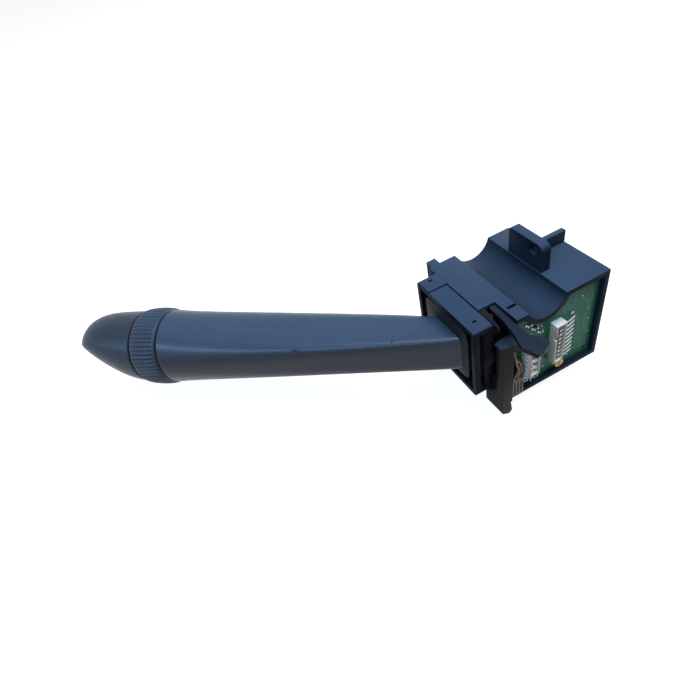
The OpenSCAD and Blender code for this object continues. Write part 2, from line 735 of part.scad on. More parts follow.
module flash_switch() {
    depth = 2.6;
    color("#2a2a2c") at_pivot() {
        box([1, carrier_far - depth, -3.2], [7, carrier_far, 3.2]);
        translate([3.4, 0, 0]) rod_y(0.9, carrier_far - depth - 0.8, carrier_far - depth + cut);
    }
}

// Knuckle of the lever: hub on the beam pin and neck into the shell
neck_width = 6.2;
neck_height = 8.8;
neck_corner = 1.6;
core_end = 26;
hub_radius = 4;
beam_bore = 1.5;
beam_plunger_start = 3.6;
module lever_core() {
    top = carrier_half - 0.3;
    color("#4e5156") difference() {
        union() {
            at_pivot() rod_z(hub_radius, -top, top);
            at_pivot() rod_x(2.8, 0, 5);
            along_lever() along_x(0, core_end)
                round_rect([-neck_width / 2, -neck_height / 2], [neck_width / 2, neck_height / 2], neck_corner);
        }
        at_pivot() rod_z(beam_pin_radius + running_gap, -top - cut, top + cut);
        at_pivot() rod_x(beam_bore + running_gap, beam_pin_radius + 0.7, 7);
        along_lever() rod_x(2.2, hub_radius + 1, core_end + cut);
    }
}

module beam_plunger() {
    nose = 1.2;
    color("#b8bcc0") at_pivot() {
        rod_x(beam_bore, beam_plunger_start, carrier_rear - 2.7);
        translate([carrier_rear - 2.7, 0, 0]) sphere(r = nose, $fn = 32);
    }
}
module beam_plunger_spring() {
    color("#8f969c") at_pivot() coil_x(0.9, 0.2, beam_pin_radius + 0.7, beam_plunger_start, 2);
}

// Front face of the skirt, which the lever's root stands on
face_x = frame_x - 0.15;
face_local = (face_x - pivot_x) / (cos(lever_drop) * cos(lever_yaw));
face_lean = tan(lever_yaw) / cos(lever_drop);
face_tip = tan(lever_drop);

// Lever shell: narrow rounded root that widens to a round head
shell_points = 40;
shell_rows = 14;
root_shift = 0.33;
root_gap = 0.03;
function shell_width(t) = lerp(root_width, head_diameter, pow(t, 0.775));
function shell_height(t) = lerp(root_height, head_diameter, pow(t, 2.6));
function shell_power(t) = lerp(2, 8, pow(1 - t, 1.6));
function shell_shift(t) = lerp(root_shift, 0, smooth(t));
function shell_ring(t, inset) =
    let (x = lerp(face_local + root_gap, shell_end, t), lean = pow(1 - t, 6), shift = shell_shift(t))
    [for (p = section(shell_width(t) - 2 * inset, shell_height(t) - 2 * inset, shell_power(t), shell_points))
        let (y = p[0] - shift, z = p[1] + shift) [x + lean * (face_lean * y - face_tip * z), y, z]];
module lever_shell() {
    color("#40506a") along_lever() hollow_skin(
        [for (i = [0:shell_rows]) shell_ring(i / shell_rows, 0)],
        [for (i = [0:shell_rows]) shell_ring(i / shell_rows, shell_wall)]);
}

// Flared skirt that fills the frame round the lever's root
skirt_wall = 1.3;
skirt_points = 32;
function skirt_ring(x, low, high, inset, power) =
    [for (p = section(high[0] - low[0] - 2 * inset, high[1] - low[1] - 2 * inset, power, skirt_points))
        [x, (low[0] + high[0]) / 2 + p[0], (low[1] + high[1]) / 2 + p[1]]];
function neck_low(x) = [pivot_y + tan(lever_yaw) * (x - pivot_x) - 4.4, pivot_z - 5.1];
function neck_high(x) = [pivot_y + tan(lever_yaw) * (x - pivot_x) + 4.4, pivot_z + 4.7];
module lever_skirt() {
    base_x = frame_x + 0.6;
    rear = frame_x + 1.9;
    back_x = face_x + skirt_wall;
    low = [frame_inner_near + 2.3, frame_bottom_z + frame_wall + 1];
    high = [frame_inner_far - 1.2, front_top_z - 2.8];
    rear_low = low + [0.8, 0.8];
    rear_high = high - [0.8, 0.8];
    face_low = [pivot_y - 2.2, pivot_z - 7.6];
    face_high = [pivot_y + 14.2, pivot_z + 6.7];
    color("#39445a") difference() {
        hollow_skin(
            [skirt_ring(face_x, neck_low(face_x), neck_high(face_x), 0, 6),
             skirt_ring(face_x, face_low, face_high, 0, 9),
             skirt_ring(base_x, low, high, 0, 9),
             skirt_ring(rear, rear_low, rear_high, 0, 9)],
            [skirt_ring(back_x, neck_low(back_x), neck_high(back_x), 0, 6),
             skirt_ring(back_x, face_low, face_high, 0.4, 9),
             skirt_ring(base_x + 0.4, low, high, skirt_wall, 9),
             skirt_ring(rear, rear_low, rear_high, skirt_wall, 9)]);
        // room for the far bearing
        box([base_x + 0.6, rear_high[0] - 2, pivot_z - 4.4], [rear + 1, high[0] + 1, pivot_z + 4.4]);
    }
}

module lever_wires() {
    color("#b5703a") along_lever() for (s = [-1, 1])
        wire([for (i = [0:24]) let (t = i / 24, sway = sin(180 * t))
            [lerp(hub_radius + 1.2, shell_end - 2, t), s * 0.8 + 0.8 * sway * sin(360 * t),
             0.6 * sway * sin(540 * t)]],
            wire_radius, 8);
}

// Core of the head: flange in the shell, and spigot for ring and button
module head_core() {
    flange = head_diameter / 2 - shell_wall - 0.3;
    color("#55585e") along_lever() difference() {
        union() {
            rod_x(flange, shell_end - 2, shell_end - 0.4);
            rod_x(spigot_radius, shell_end - 6, ring_end + 0.3);
        }
        rod_x(spigot_bore, shell_end - 2, ring_end + 1);
        rod_x(2.2, shell_end - 7, shell_end);
        translate([ring_middle, 0, 0]) rod_z(detent_radius + running_gap, spigot_bore - 1, spigot_radius + 1);
        // groove for the clip
        difference() {
            rod_x(spigot_radius + 1, clip_start, clip_start + clip_thickness);
            rod_x(spigot_radius - 0.5, clip_start - cut, clip_start + clip_thickness + cut);
        }
    }
}

module head_board() {
    color("#1f5b46") along_lever() difference() {
        rod_x(spigot_bore - 0.1, shell_end - 2, shell_end - 1);
        rod_x(1.4, shell_end - 3, shell_end);
    }
}

module button_switch() {
    color("#2a2a2c") along_lever() difference() {
        rod_x(button_spring_radius - button_spring_wire - 1.3, shell_end - 1, shell_end + 2.4);
        rod_x(1.2, shell_end - 2, shell_end);
    }
}

// Clip that keeps the selector ring on its spigot
clip_start = ring_start + 8.6;
clip_thickness = 0.8;
module ring_clip() {
    color("#aeb4ba") along_lever() difference() {
        rod_x(spigot_radius + 2, clip_start, clip_start + clip_thickness);
        rod_x(spigot_radius - 0.5, clip_start - cut, clip_start + clip_thickness + cut);
        translate([clip_start, -2, -spigot_radius - 3]) cube([clip_thickness + 1, 4, 6]);
    }
}

ring_bore_length = 8;
module selector_ring() {
    step = 360 / rib_count;
    band = 1.7;
    // one rib: share of a step, and radius, of each corner
    rib = [[0, ring_root], [0.3, ring_diameter / 2], [0.6, ring_diameter / 2], [0.9, ring_root]];
    color("#3a4559") along_lever() difference() {
        union() {
            translate([ring_start + band - cut, 0, 0]) rotate([90, 0, 90])
                linear_extrude(ring_width - band + cut) polygon(
                    [for (i = [0:rib_count - 1]) for (p = rib)
                        [p[1] * cos((i + p[0]) * step), p[1] * sin((i + p[0]) * step)]]);
            rod_x(ring_diameter / 2 - lip_step, ring_start, ring_start + band);
        }
        rod_x(spigot_radius + running_gap, ring_start - cut, ring_end + cut);
        rod_x(ring_root - 1.8, ring_start + ring_bore_length, ring_end + cut);
        // detent notches
        for (a = [0:30:330]) translate([ring_middle, 0, 0]) rotate([a, 0, 0])
            rod_z(detent_radius + 0.1, spigot_bore + 1, spigot_radius + 1.4);
    }
}

module ring_wiper() {
    color("#c9a24a") along_lever() difference() {
        rod_x(ring_root - 1.9, ring_start + ring_bore_length, ring_start + ring_bore_length + 0.4);
        rod_x(spigot_radius + 0.6, ring_start + ring_bore_length - 1, ring_start + ring_bore_length + 1);
    }
}

detent_radius = 1.25;
detent_height = spigot_radius - 0.65;
module detent_ball() {
    color("#c8ccd0") along_lever() translate([ring_middle, 0, detent_height]) sphere(r = detent_radius, $fn = 32);
}

// Leaf inside the spigot that pushes the ball out
module detent_spring() {
    leaf_half = spigot_bore - 1.55;
    color("#8f969c") along_lever() intersection() {
        difference() {
            rod_x(spigot_bore - 0.02, ring_middle - 1.6, ring_middle + 1.6);
            rod_x(spigot_bore - 0.22, ring_middle - 2, ring_middle + 2);
        }
        box([ring_middle - 3, -leaf_half, 2], [ring_middle + 3, leaf_half, spigot_bore + 1]);
    }
}

// Bullet shaped push button, wedge shaped towards the near side underneath
button_points = 40;
button_rows = 14;
button_tip_wall = 2.2;
wedge_side = cos(38);
wedge_down = -sin(38);
function button_ring(u, radius, length) =
    let (full = radius * sqrt(1 - pow(u, 4.6)), low = radius * (1 - pow(u, 1.7)), x = button_start + length * u)
    [for (i = [0:button_points - 1])
        let (a = 360 * i / button_points, y = full * cos(a), z = full * sin(a),
             side = max(y * wedge_side + z * wedge_down, 0) * (1 - low / full))
        [x, y - side * wedge_side, z - side * wedge_down]];
function button_rings(radius, length) =
    [for (i = [0:button_rows]) button_ring(0.997 * sin(90 * i / button_rows), radius, length)];
module end_button() {
    color("#3a4a66") along_lever() cup_skin(
        button_rings(button_radius, button_length),
        button_rings(button_radius - button_wall, button_length - button_tip_wall));
}

// Stem that joins the button to its switch, with a sleeve that slides in the spigot
module button_stem() {
    disc_start = button_start + 1.2;
    disc_radius = button_radius - button_wall - 0.6;
    color("#55585e") along_lever() {
        rod_x(2.2, shell_end + 2.5 + button_travel, disc_start + 1);
        rod_x(disc_radius, disc_start, disc_start + 1.4);
        difference() {
            rod_x(spigot_bore - running_gap, ring_end - 3, disc_start + 0.2);
            rod_x(spigot_bore - 1.1, ring_end - 4, disc_start);
        }
    }
}

button_spring_wire = 0.35;
button_spring_radius = spigot_bore - 1.9;
module button_spring() {
    color("#8f969c") along_lever()
        coil_x(button_spring_radius, button_spring_wire, shell_end - 1, button_start + 1.2, 6);
}

main_case();
front_frame();
bearing_plate();
cable_guard();
circuit_board();
board_components();
main_connector();
main_connector_pins();
lamp_connector();
lamp_connector_pins();
wire_plug();
bay_wires();
board_screws();
contact_frame();
turn_cam();
cancel_finger();
cancel_pin();
cancel_spring();
turn_carrier();
turn_plunger();
turn_plunger_spring();
beam_cam();
beam_pin();
flash_switch();
turn_slider();
turn_wipers();
lever_core();
lever_shell();
lever_skirt();
beam_plunger();
beam_plunger_spring();
lever_wires();
head_core();
head_board();
button_switch();
ring_clip();
selector_ring();
ring_wiper();
detent_ball();
detent_spring();
end_button();
button_stem();
button_spring();
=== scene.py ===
import json
import math

import bmesh
import bpy
from mathutils import Matrix, Vector


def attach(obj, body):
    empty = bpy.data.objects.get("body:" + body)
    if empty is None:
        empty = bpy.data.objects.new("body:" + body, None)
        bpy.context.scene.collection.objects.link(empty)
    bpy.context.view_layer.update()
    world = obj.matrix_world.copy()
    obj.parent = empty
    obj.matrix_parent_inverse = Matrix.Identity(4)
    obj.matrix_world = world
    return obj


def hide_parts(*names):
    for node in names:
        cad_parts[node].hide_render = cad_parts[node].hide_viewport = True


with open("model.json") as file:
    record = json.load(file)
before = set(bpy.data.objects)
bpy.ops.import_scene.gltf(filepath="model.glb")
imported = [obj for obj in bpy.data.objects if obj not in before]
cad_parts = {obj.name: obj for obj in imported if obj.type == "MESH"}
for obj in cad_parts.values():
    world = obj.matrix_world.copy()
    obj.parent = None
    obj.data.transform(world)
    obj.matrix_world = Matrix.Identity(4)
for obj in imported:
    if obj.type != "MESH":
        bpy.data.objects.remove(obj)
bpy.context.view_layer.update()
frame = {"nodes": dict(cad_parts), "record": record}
NODES = frame["nodes"]
MM = 0.001

# Pivot and direction of the lever, in millimetres and degrees, as in the CAD
PIVOT = Vector((-24.5, -3.7, -21.3))
LEVER_YAW = math.radians(141)
LEVER_DROP = math.radians(1.8)
AT_PIVOT = Matrix.Translation(PIVOT)
ALONG_LEVER = AT_PIVOT @ Matrix.Rotation(LEVER_YAW, 4, "Z") @ Matrix.Rotation(LEVER_DROP, 4, "Y")

# Sizes shared with the CAD, in millimetres
NEAR_Y = -14.9
TOP_Z = -6.5
BOTTOM_Z = -41.5
SADDLE_X, SADDLE_Z = -6.9, -5.1
BAY_X = -13.8
BOARD_Y = NEAR_Y + 1.5
FRAME_FRONT, FRAME_REAR = -30.0, -23.4
FRAME_NEAR, FRAME_FAR = -10.7, 16.1
FRAME_BOTTOM, FRAME_TOP = -34.7, -7.1
FACE_X = -30.15
SHELL_END = 108.2
RING_START = 108.6
RING_WIDTH = 11.3
RING_END = RING_START + RING_WIDTH
RING_RADIUS = 14.5
RIB_HEIGHT = 0.45
RIB_COUNT = 58
SPIGOT_RADIUS = RING_RADIUS - 5.95
SPIGOT_BORE = SPIGOT_RADIUS - 2
HEAD_DIAMETER = 27.2
ROOT_WIDTH, ROOT_HEIGHT, ROOT_SHIFT = 11.0, 13.9, 0.33
SHELL_WALL = 1.8
BUTTON_START = RING_END + 0.7
BUTTON_LENGTH = 29.3
BUTTON_RADIUS = RING_RADIUS - 1.1
BUTTON_WALL = 1.6


def lerp(a, b, t):
    """The value at a share t of the way from a to b."""
    return a + (b - a) * t


# Painted top light, a pale bluish painted sheen on faces that look up: the tilts between which it grows, the
# heights between which it fades out low on the case, and the heights between which it drops to a share of
# itself on the ledges under the top; the fading and the drop are painted shade
TOP_LIGHT_TILT = (0.30, 0.95)
TOP_LIGHT_FOOT = (-34 * MM, -22 * MM)
TOP_LIGHT_LEDGE = (-11.5 * MM, -7.3 * MM)
LEDGE_SHARE = 0.6

# Sockets of a mix node that mixes colours
MIX_FACTOR, MIX_FIRST, MIX_SECOND, MIX_RESULT = 0, 6, 7, 2


class Nodes:
    """Short names for the shader nodes of one tree."""

    def __init__(self, tree):
        self.tree = tree
        self.tree.nodes.clear()

    def link(self, a, b):
        self.tree.links.new(a, b)

    def put(self, socket, value):
        """Sets a socket to a value, or links it where the value is a socket too."""
        if isinstance(value, bpy.types.NodeSocket):
            self.link(value, socket)
        else:
            socket.default_value = value

    def node(self, kind, values=(), **props):
        """A new node with some properties and inputs set."""
        n = self.tree.nodes.new("ShaderNode" + kind)
        for key, value in props.items():
            setattr(n, key, value)
        for key, value in dict(values).items():
            self.put(n.inputs[key], value)
        return n

    def math(self, kind, a, b):
        return self.node("Math", {0: a, 1: b}, operation=kind).outputs[0]

    def seen(self):
        """1 for rays that come from the camera, also by a reflection or through glass, and 0 for others."""
        path = self.node("LightPath")
        bent = self.math("MAXIMUM", path.outputs["Is Glossy Ray"], path.outputs["Is Transmission Ray"])
        return self.math("MAXIMUM", path.outputs["Is Camera Ray"], bent)


class Shader(Nodes):
    """One material with a principled shader, and the patterns that its colours are mixed from."""

    def __init__(self, name):
        self.material = bpy.data.materials.new(name)
        self.material.use_nodes = True
        super().__init__(self.material.node_tree)
        self.out = self.node("OutputMaterial")
        self.bsdf = self.node("BsdfPrincipled")
        self.link(self.bsdf.outputs[0], self.out.inputs[0])
        self.coords = self.node("TexCoord")
        self.place = self.coords.outputs["Object"]

    def along_lever(self):
        """Turns the coordinates so that X runs along the lever."""
        self.place = self.node("VectorRotate", {"Vector": self.place, "Angle": -LEVER_YAW},
                               rotation_type="Z_AXIS").outputs[0]

    def noise(self, size_mm, detail=2.0, rough=0.5, stretch=None):
        """Noise of one size in millimetres, drawn out along X, Y and Z by the factors in stretch."""
        place = self.place
        if stretch is not None:
            place = self.node("Mapping", {"Vector": place, "Scale": [1 / s for s in stretch]}).outputs[0]
        n = self.node("TexNoise", {"Vector": place, "Scale": 1000.0 / size_mm,
                                   "Detail": detail, "Roughness": rough})
        return n.outputs["Fac"]

    def ramp(self, value, low, high, to_low=0.0, to_high=1.0):
        """A value that goes from to_low to to_high while another goes from low to high."""
        n = self.node("MapRange", {"Value": value, "From Min": low, "From Max": high,
                                   "To Min": to_low, "To Max": to_high})
        return n.outputs["Result"]

    def drift(self, noise, low, high):
        """A value that drifts between low and high as a noise does."""
        return self.ramp(noise, 0.3, 0.7, low, high)

    def mix(self, factor, a, b):
        """Colour a where the factor is 0, and b where it is 1."""
        n = self.node("Mix", {MIX_FACTOR: factor, MIX_FIRST: a, MIX_SECOND: b}, data_type="RGBA")
        return n.outputs[MIX_RESULT]

    def bump(self, height, depth_mm, normal=None):
        """A surface normal that leans as the height does, on top of another normal where one is given."""
        n = self.node("Bump", {"Height": height, "Distance": depth_mm * MM})
        if normal is not None:
            self.link(normal, n.inputs["Normal"])
        return n.outputs["Normal"]

    def spot(self, centre_mm, radius_mm):
        """1 near a point, fading to 0 over the outer half of a small ball round it."""
        n = self.node("VectorMath", {0: self.place, 1: [c * MM for c in centre_mm]}, operation="DISTANCE")
        return self.ramp(n.outputs["Value"], radius_mm * MM * 0.5, radius_mm * MM, 1.0, 0.0)

    def upward(self):
        """How far the surface faces up at rest, from -1 to 1."""
        return self.node("SeparateXYZ", {0: self.coords.outputs["Normal"]}).outputs[2]

    def painted_top_light(self, by_height):
        """How much painted top light, a pale painted sheen, lies on a surface that faces up; by height, less
        on ledges and low down, as painted shade.
        """
        share = self.ramp(self.upward(), *TOP_LIGHT_TILT)
        if by_height:
            height = self.node("SeparateXYZ", {0: self.place}).outputs[2]
            share = self.math("MULTIPLY", share, self.ramp(height, *TOP_LIGHT_FOOT))
            share = self.math("MULTIPLY", share, self.ramp(height, *TOP_LIGHT_LEDGE, LEDGE_SHARE, 1.0))
        return share

    def hollow_dirt_and_shade(self, amount):
        """Hollow corners, painted darker: painted shade where shade falls there, and dirt that gathers there.
        """
        geometry = self.node("NewGeometry")
        return self.ramp(geometry.outputs["Pointiness"], 0.49, 0.42, 0, amount)

    def wear_and_highlight_edges(self, amount):
        """Edges painted paler in some patches and whole in others: rubbed wear, and a painted highlight where
        light catches the edge.
        """
        geometry = self.node("NewGeometry")
        edge = self.ramp(geometry.outputs["Pointiness"], 0.53, 0.62)
        return self.math("MULTIPLY", edge, self.ramp(self.noise(2.2, 3), 0.42, 0.62, 0, amount))

    def set(self, **values):
        """Sets inputs of the principled shader, written with _ for each space."""
        for key, value in values.items():
            self.put(self.bsdf.inputs[key.replace("_", " ")], value)


def srgb(text):
    """A colour written as rrggbb, as linear values."""
    out = []
    for i in (0, 2, 4):
        c = int(text[i:i + 2], 16) / 255
        out.append(c / 12.92 if c <= 0.04045 else ((c + 0.055) / 1.055) ** 2.4)
    return (*out, 1.0)


def shade(colour, factor):
    """A colour made darker or lighter by a factor."""
    return (*[min(c * factor, 1.0) for c in colour[:3]], 1.0)


def moulded(name, base, rough=0.45, grain_mm=0.35, grain_depth=0.010, wear_and_highlight=0.3, specular=0.03, marks=(),
            handled=False, shaded_colour=None):
    """Moulded plastic with an eroded grain and faint flow marks, and small nicks where marks are given.

    A handled piece has hollows painted dark, as painted shade and dirt, edges painted paler, as wear and as a
    painted highlight, and fine scratches and rubbed patches that run along the lever. Where a shaded colour
    is given, it is painted shade on the sides, the underside and low ledges, while the top keeps the base
    colour as painted light.
    """
    s = Shader(name)
    spots = [s.spot(centre, radius) for centre, radius in marks]
    colour = s.mix(s.ramp(s.noise(22, 2), 0.35, 0.65), shade(base, 0.96), shade(base, 1.04))
    colour = s.mix(s.ramp(s.noise(0.45, 3, 0.6), 0.56, 0.78, 0, 0.12), colour, shade(base, 1.3))
    if handled:
        s.along_lever()
        rubbed = s.ramp(s.noise(3.2, 4, 0.6, (9, 1, 1)), 0.50, 0.72, 0, 0.30)
        colour = s.mix(rubbed, colour, shade(base, 1.35))
        fine = s.ramp(s.noise(0.5, 4, 0.7, (30, 1, 1)), 0.58, 0.70, 0, 0.45)
        colour = s.mix(fine, colour, shade(base, 1.6))
        # The hollows are painted dark: painted shade, with some dirt
        colour = s.mix(s.hollow_dirt_and_shade(0.8), colour, shade(base, 0.2))
        # The edges are painted paler: wear, with a painted highlight
        colour = s.mix(s.wear_and_highlight_edges(wear_and_highlight), colour, shade(base, 2.2))
    else:
        scuff = s.ramp(s.noise(1.6, 4, 0.75, (4, 1, 1)), 0.68, 0.78, 0, wear_and_highlight * 0.3)
        colour = s.mix(scuff, colour, shade(base, 1.5))
    # Painted light: tops keep the base colour as lit, while sides, underside and low ledges get the shaded
    # colour as painted shade
    if shaded_colour is not None:
        dust = s.ramp(s.noise(2.6, 3), 0.40, 0.70, 0, 0.3)
        colour = s.mix(s.painted_top_light(not handled), s.mix(dust, shaded_colour, shade(shaded_colour, 1.6)), colour)
    normal = s.bump(s.noise(grain_mm, 2, 0.6), grain_depth)
    for nick in spots:
        colour = s.mix(nick, colour, shade(base, 0.30))
        normal = s.bump(nick, -0.1, normal)
    s.set(Base_Color=colour, Normal=normal, Specular_IOR_Level=specular,
          Roughness=s.drift(s.noise(3.5, 4, 0.6), rough - 0.05, rough + 0.06))
    return s.material


def nylon(name, base, sides, rough=0.5):
    """Unpainted nylon with a fine grain and a little dirty in places; its sides are painted warmer and darker
    as painted shade, and its top keeps the base colour as lit.
    """
    s = Shader(name)
    # Painted shade: faces that do not look up take the darker, warmer side colour
    colour = s.mix(s.ramp(s.upward(), 0.2, 0.8), sides, base)
    colour = s.mix(s.drift(s.noise(5, 3), 0, 0.12), colour, shade(sides, 0.6))
    grime = s.ramp(s.noise(1.6, 5, 0.7), 0.58, 0.75, 0, 0.22)
    colour = s.mix(grime, colour, shade(base, 0.45))
    s.set(Base_Color=colour, Normal=s.bump(s.noise(0.25, 2), 0.006), Specular_IOR_Level=0.35,
          Roughness=s.drift(s.noise(2, 3), rough - 0.07, rough + 0.07),
          Subsurface_Weight=0.04, Subsurface_Radius=(0.4, 0.35, 0.3), Subsurface_Scale=MM)
    return s.material


def metal(name, base, rough=0.3, drawn=(1, 1, 1), tarnish=0.25, line_mm=0.15):
    """Bare metal with fine working lines and patches of tarnish."""
    s = Shader(name)
    patch = s.ramp(s.noise(1.3, 4, 0.7), 0.5, 0.75, 0, tarnish)
    colour = s.mix(patch, base, shade(base, 0.45))
    lines = s.noise(line_mm, 2, 0.6, drawn)
    s.set(Base_Color=colour, Metallic=1.0, Normal=s.bump(lines, 0.004),
          Roughness=s.drift(s.noise(0.9, 3), rough - 0.08, rough + 0.12))
    return s.material


def laminate(name, base, rough=0.34):
    """Circuit board: solder resist over a weave, darker along the edges of the copper fields."""
    s = Shader(name)
    field_mm, weave_mm = 4.5, 3.6
    copper = s.node("TexVoronoi", {"Vector": s.place, "Scale": 1000 / field_mm}, distance="CHEBYCHEV",
                    feature="DISTANCE_TO_EDGE")
    filled = s.ramp(copper.outputs["Distance"], 0.02, 0.035)
    colour = s.mix(filled, shade(base, 0.80), base)
    colour = s.mix(s.ramp(s.noise(7, 3), 0.35, 0.65, 0, 0.5), colour, shade(base, 0.72))
    weave = s.node("TexWave", {"Vector": s.place, "Scale": 1000 / weave_mm}, bands_direction="DIAGONAL")
    colour = s.mix(s.math("MULTIPLY", weave.outputs["Fac"], 0.05), colour, shade(base, 1.5))
    normal = s.bump(filled, 0.02, s.bump(s.noise(0.5, 2), 0.004))
    s.set(Base_Color=colour, Normal=normal, Specular_IOR_Level=0.12,
          Roughness=s.drift(s.noise(2.5, 3), rough - 0.06, rough + 0.10))
    return s.material


def sleeve(name, base):
    """Thin wire sleeve with a drawn grain, lighter and darker from place to place."""
    s = Shader(name)
    colour = s.mix(s.ramp(s.noise(1.2, 3), 0.35, 0.65), shade(base, 0.70), shade(base, 1.25))
    s.set(Base_Color=colour, Roughness=s.drift(s.noise(0.8, 3), 0.26, 0.42),
          Normal=s.bump(s.noise(0.3, 2, 0.6, (1, 1, 5)), 0.006), Specular_IOR_Level=0.5)
    return s.material


def ceramic(name, base):
    """Small chip part: matt body, speckled."""
    s = Shader(name)
    colour = s.mix(s.ramp(s.noise(0.18, 3), 0.35, 0.65), shade(base, 0.8), shade(base, 1.2))
    s.set(Base_Color=colour, Roughness=s.drift(s.noise(0.4, 2), 0.45, 0.65),
          Normal=s.bump(s.noise(0.12, 2), 0.004))
    return s.material


PLASTIC = srgb("3b4e68")
SATIN = srgb("334964")
# Nicks on the lever: centre and radius of each, in millimetres
LEVER_MARKS = (((-73.6, 24.5, -17.0), 1.1), ((-72.2, 23.5, -17.0), 0.9), ((-46.6, 7.3, -14.9), 0.6))
# In a moulded material the first colour is its top, painted lit, and the shaded colour is painted shade on
# its sides, underside and low ledges; in a nylon the second colour is its sides in painted shade
MATERIALS = {
    "case": moulded("case_plastic", PLASTIC, 0.48, shaded_colour=srgb("1b2634")),
    "inner": moulded("inner_plastic", srgb("1c222b"), 0.5, wear_and_highlight=0.05, shaded_colour=srgb("0d0f12")),
    "frame": moulded("frame_plastic", shade(PLASTIC, 0.92), 0.46, shaded_colour=srgb("10141b")),
    "skirt": moulded("skirt_plastic", shade(PLASTIC, 0.75), 0.48, specular=0.08, wear_and_highlight=0.2,
                     shaded_colour=srgb("1e2229")),
    "guard": moulded("guard_plastic", srgb("445472"), 0.46, specular=0.10, wear_and_highlight=0.1, shaded_colour=srgb("211f1c")),
    "lever": moulded("lever_plastic", SATIN, 0.32, grain_mm=0.22, grain_depth=0.004, wear_and_highlight=0.20,
                     specular=0.28, marks=LEVER_MARKS, handled=True, shaded_colour=srgb("161e2d")),
    "ring": moulded("ring_plastic", shade(SATIN, 0.85), 0.34, grain_mm=0.2, grain_depth=0.003, wear_and_highlight=0.90,
                    specular=0.24, handled=True, shaded_colour=srgb("222a36")),
    "button": moulded("button_plastic", shade(SATIN, 0.40), 0.38, grain_mm=0.25, grain_depth=0.004,
                      wear_and_highlight=0.20, specular=0.24, handled=True, shaded_colour=srgb("2b3442")),
    "finger": moulded("finger_plastic", shade(PLASTIC, 0.38), 0.42, grain_mm=0.3, grain_depth=0.006,
                      wear_and_highlight=0.25, specular=0.05, shaded_colour=srgb("10141b")),
    "switch": moulded("switch_plastic", srgb("1f1f22"), 0.4, wear_and_highlight=0.1),
    "header": nylon("header_plastic", srgb("f2f7fc"), srgb("e0d6ca")),
    "plug": nylon("plug_plastic", srgb("6c6761"), srgb("5e564e"), 0.46),
    "track": nylon("track_plastic", srgb("d8d4c8"), srgb("d0ccc0"), 0.4),
    "board": laminate("board_laminate", srgb("2f765f")),
    "trace": laminate("board_trace", srgb("53a588"), 0.3),
    "ceramic": ceramic("part_ceramic", srgb("6a6862")),
    "sleeve": sleeve("wire_sleeve", srgb("74401f")),
    "tinned": metal("tinned_pins", srgb("c3cacb"), 0.30, drawn=(1, 4, 1), tarnish=0.2),
    "solder": metal("solder", srgb("b9bfc2"), 0.26, tarnish=0.35, line_mm=0.4),
    "spring": metal("spring_steel", srgb("8f969c"), 0.30, drawn=(1, 6, 6)),
    "steel": metal("turned_steel", srgb("9aa0a6"), 0.38, drawn=(6, 6, 1)),
    "blackened": metal("blackened_steel", srgb("34373c"), 0.5, drawn=(6, 6, 1)),
    "contact": metal("contact_brass", srgb("c9a24a"), 0.28, drawn=(6, 1, 1)),
    "screw": metal("screw_brass", srgb("b08d57"), 0.34, tarnish=0.5),
}

# The nodes that each material is put on
DRESS = {
    "case": ("main_case",),
    "inner": ("turn_carrier", "bearing_plate", "lever_core", "head_core", "button_stem"),
    "frame": ("front_frame",),
    "skirt": ("lever_skirt",),
    "guard": ("cable_guard",),
    "lever": ("lever_shell",),
    "ring": ("selector_ring",),
    "button": ("end_button",),
    "finger": ("cancel_finger",),
    "board": ("circuit_board", "head_board"),
    "ceramic": ("board_components",),
    "header": ("main_connector", "lamp_connector", "contact_frame", "turn_slider"),
    "plug": ("wire_plug",),
    "track": ("turn_cam", "beam_cam"),
    "switch": ("flash_switch", "button_switch"),
    "tinned": ("main_connector_pins", "lamp_connector_pins"),
    "blackened": ("cancel_pin", "cancel_spring"),
    "spring": ("turn_plunger_spring", "beam_plunger_spring", "detent_spring", "button_spring"),
    "steel": ("beam_pin", "turn_plunger", "beam_plunger", "ring_clip", "detent_ball"),
    "contact": ("turn_wipers", "ring_wiper"),
    "screw": ("board_screws",),
    "sleeve": ("bay_wires", "lever_wires"),
}
DRESS_OF = {node: key for key, nodes in DRESS.items() for node in nodes}
BODIES = frame["record"]["behaviour"]["bodies"]
BODY_OF = {node: body for body, members in BODIES.items() for node in members}
for node, key in DRESS_OF.items():
    data = NODES[node].data
    data.materials.clear()
    data.materials.append(MATERIALS[key])


def add(name, mesh, material, body, *nodes):
    """Puts a finished mesh in the scene, on a body, in place of the CAD nodes. All of it has one material."""
    obj = bpy.data.objects.new(name, mesh)
    bpy.context.scene.collection.objects.link(obj)
    mesh.materials.clear()
    mesh.materials.append(MATERIALS[material])
    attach(obj, body)
    if nodes:
        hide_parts(*nodes)


def smooth(mesh, angle):
    """Shades a mesh round, but for edges sharper than an angle in degrees."""
    mesh.shade_smooth()
    mesh.set_sharp_from_angle(angle=math.radians(angle))


def mesh_from(points, faces, place=None, angle=32):
    """A mesh from points in millimetres."""
    mesh = bpy.data.meshes.new("piece")
    place = place or Matrix.Identity(4)
    mesh.from_pydata([tuple((place @ Vector(p)) * MM) for p in points], [], faces)
    mesh.validate()
    smooth(mesh, angle)
    return mesh


def finished(bm, name, angle=35):
    """A mesh in metres from a bmesh that was built in millimetres."""
    bmesh.ops.scale(bm, vec=(MM, MM, MM), verts=bm.verts)
    bmesh.ops.recalc_face_normals(bm, faces=bm.faces)
    mesh = bpy.data.meshes.new(name)
    bm.to_mesh(mesh)
    bm.free()
    smooth(mesh, angle)
    return mesh


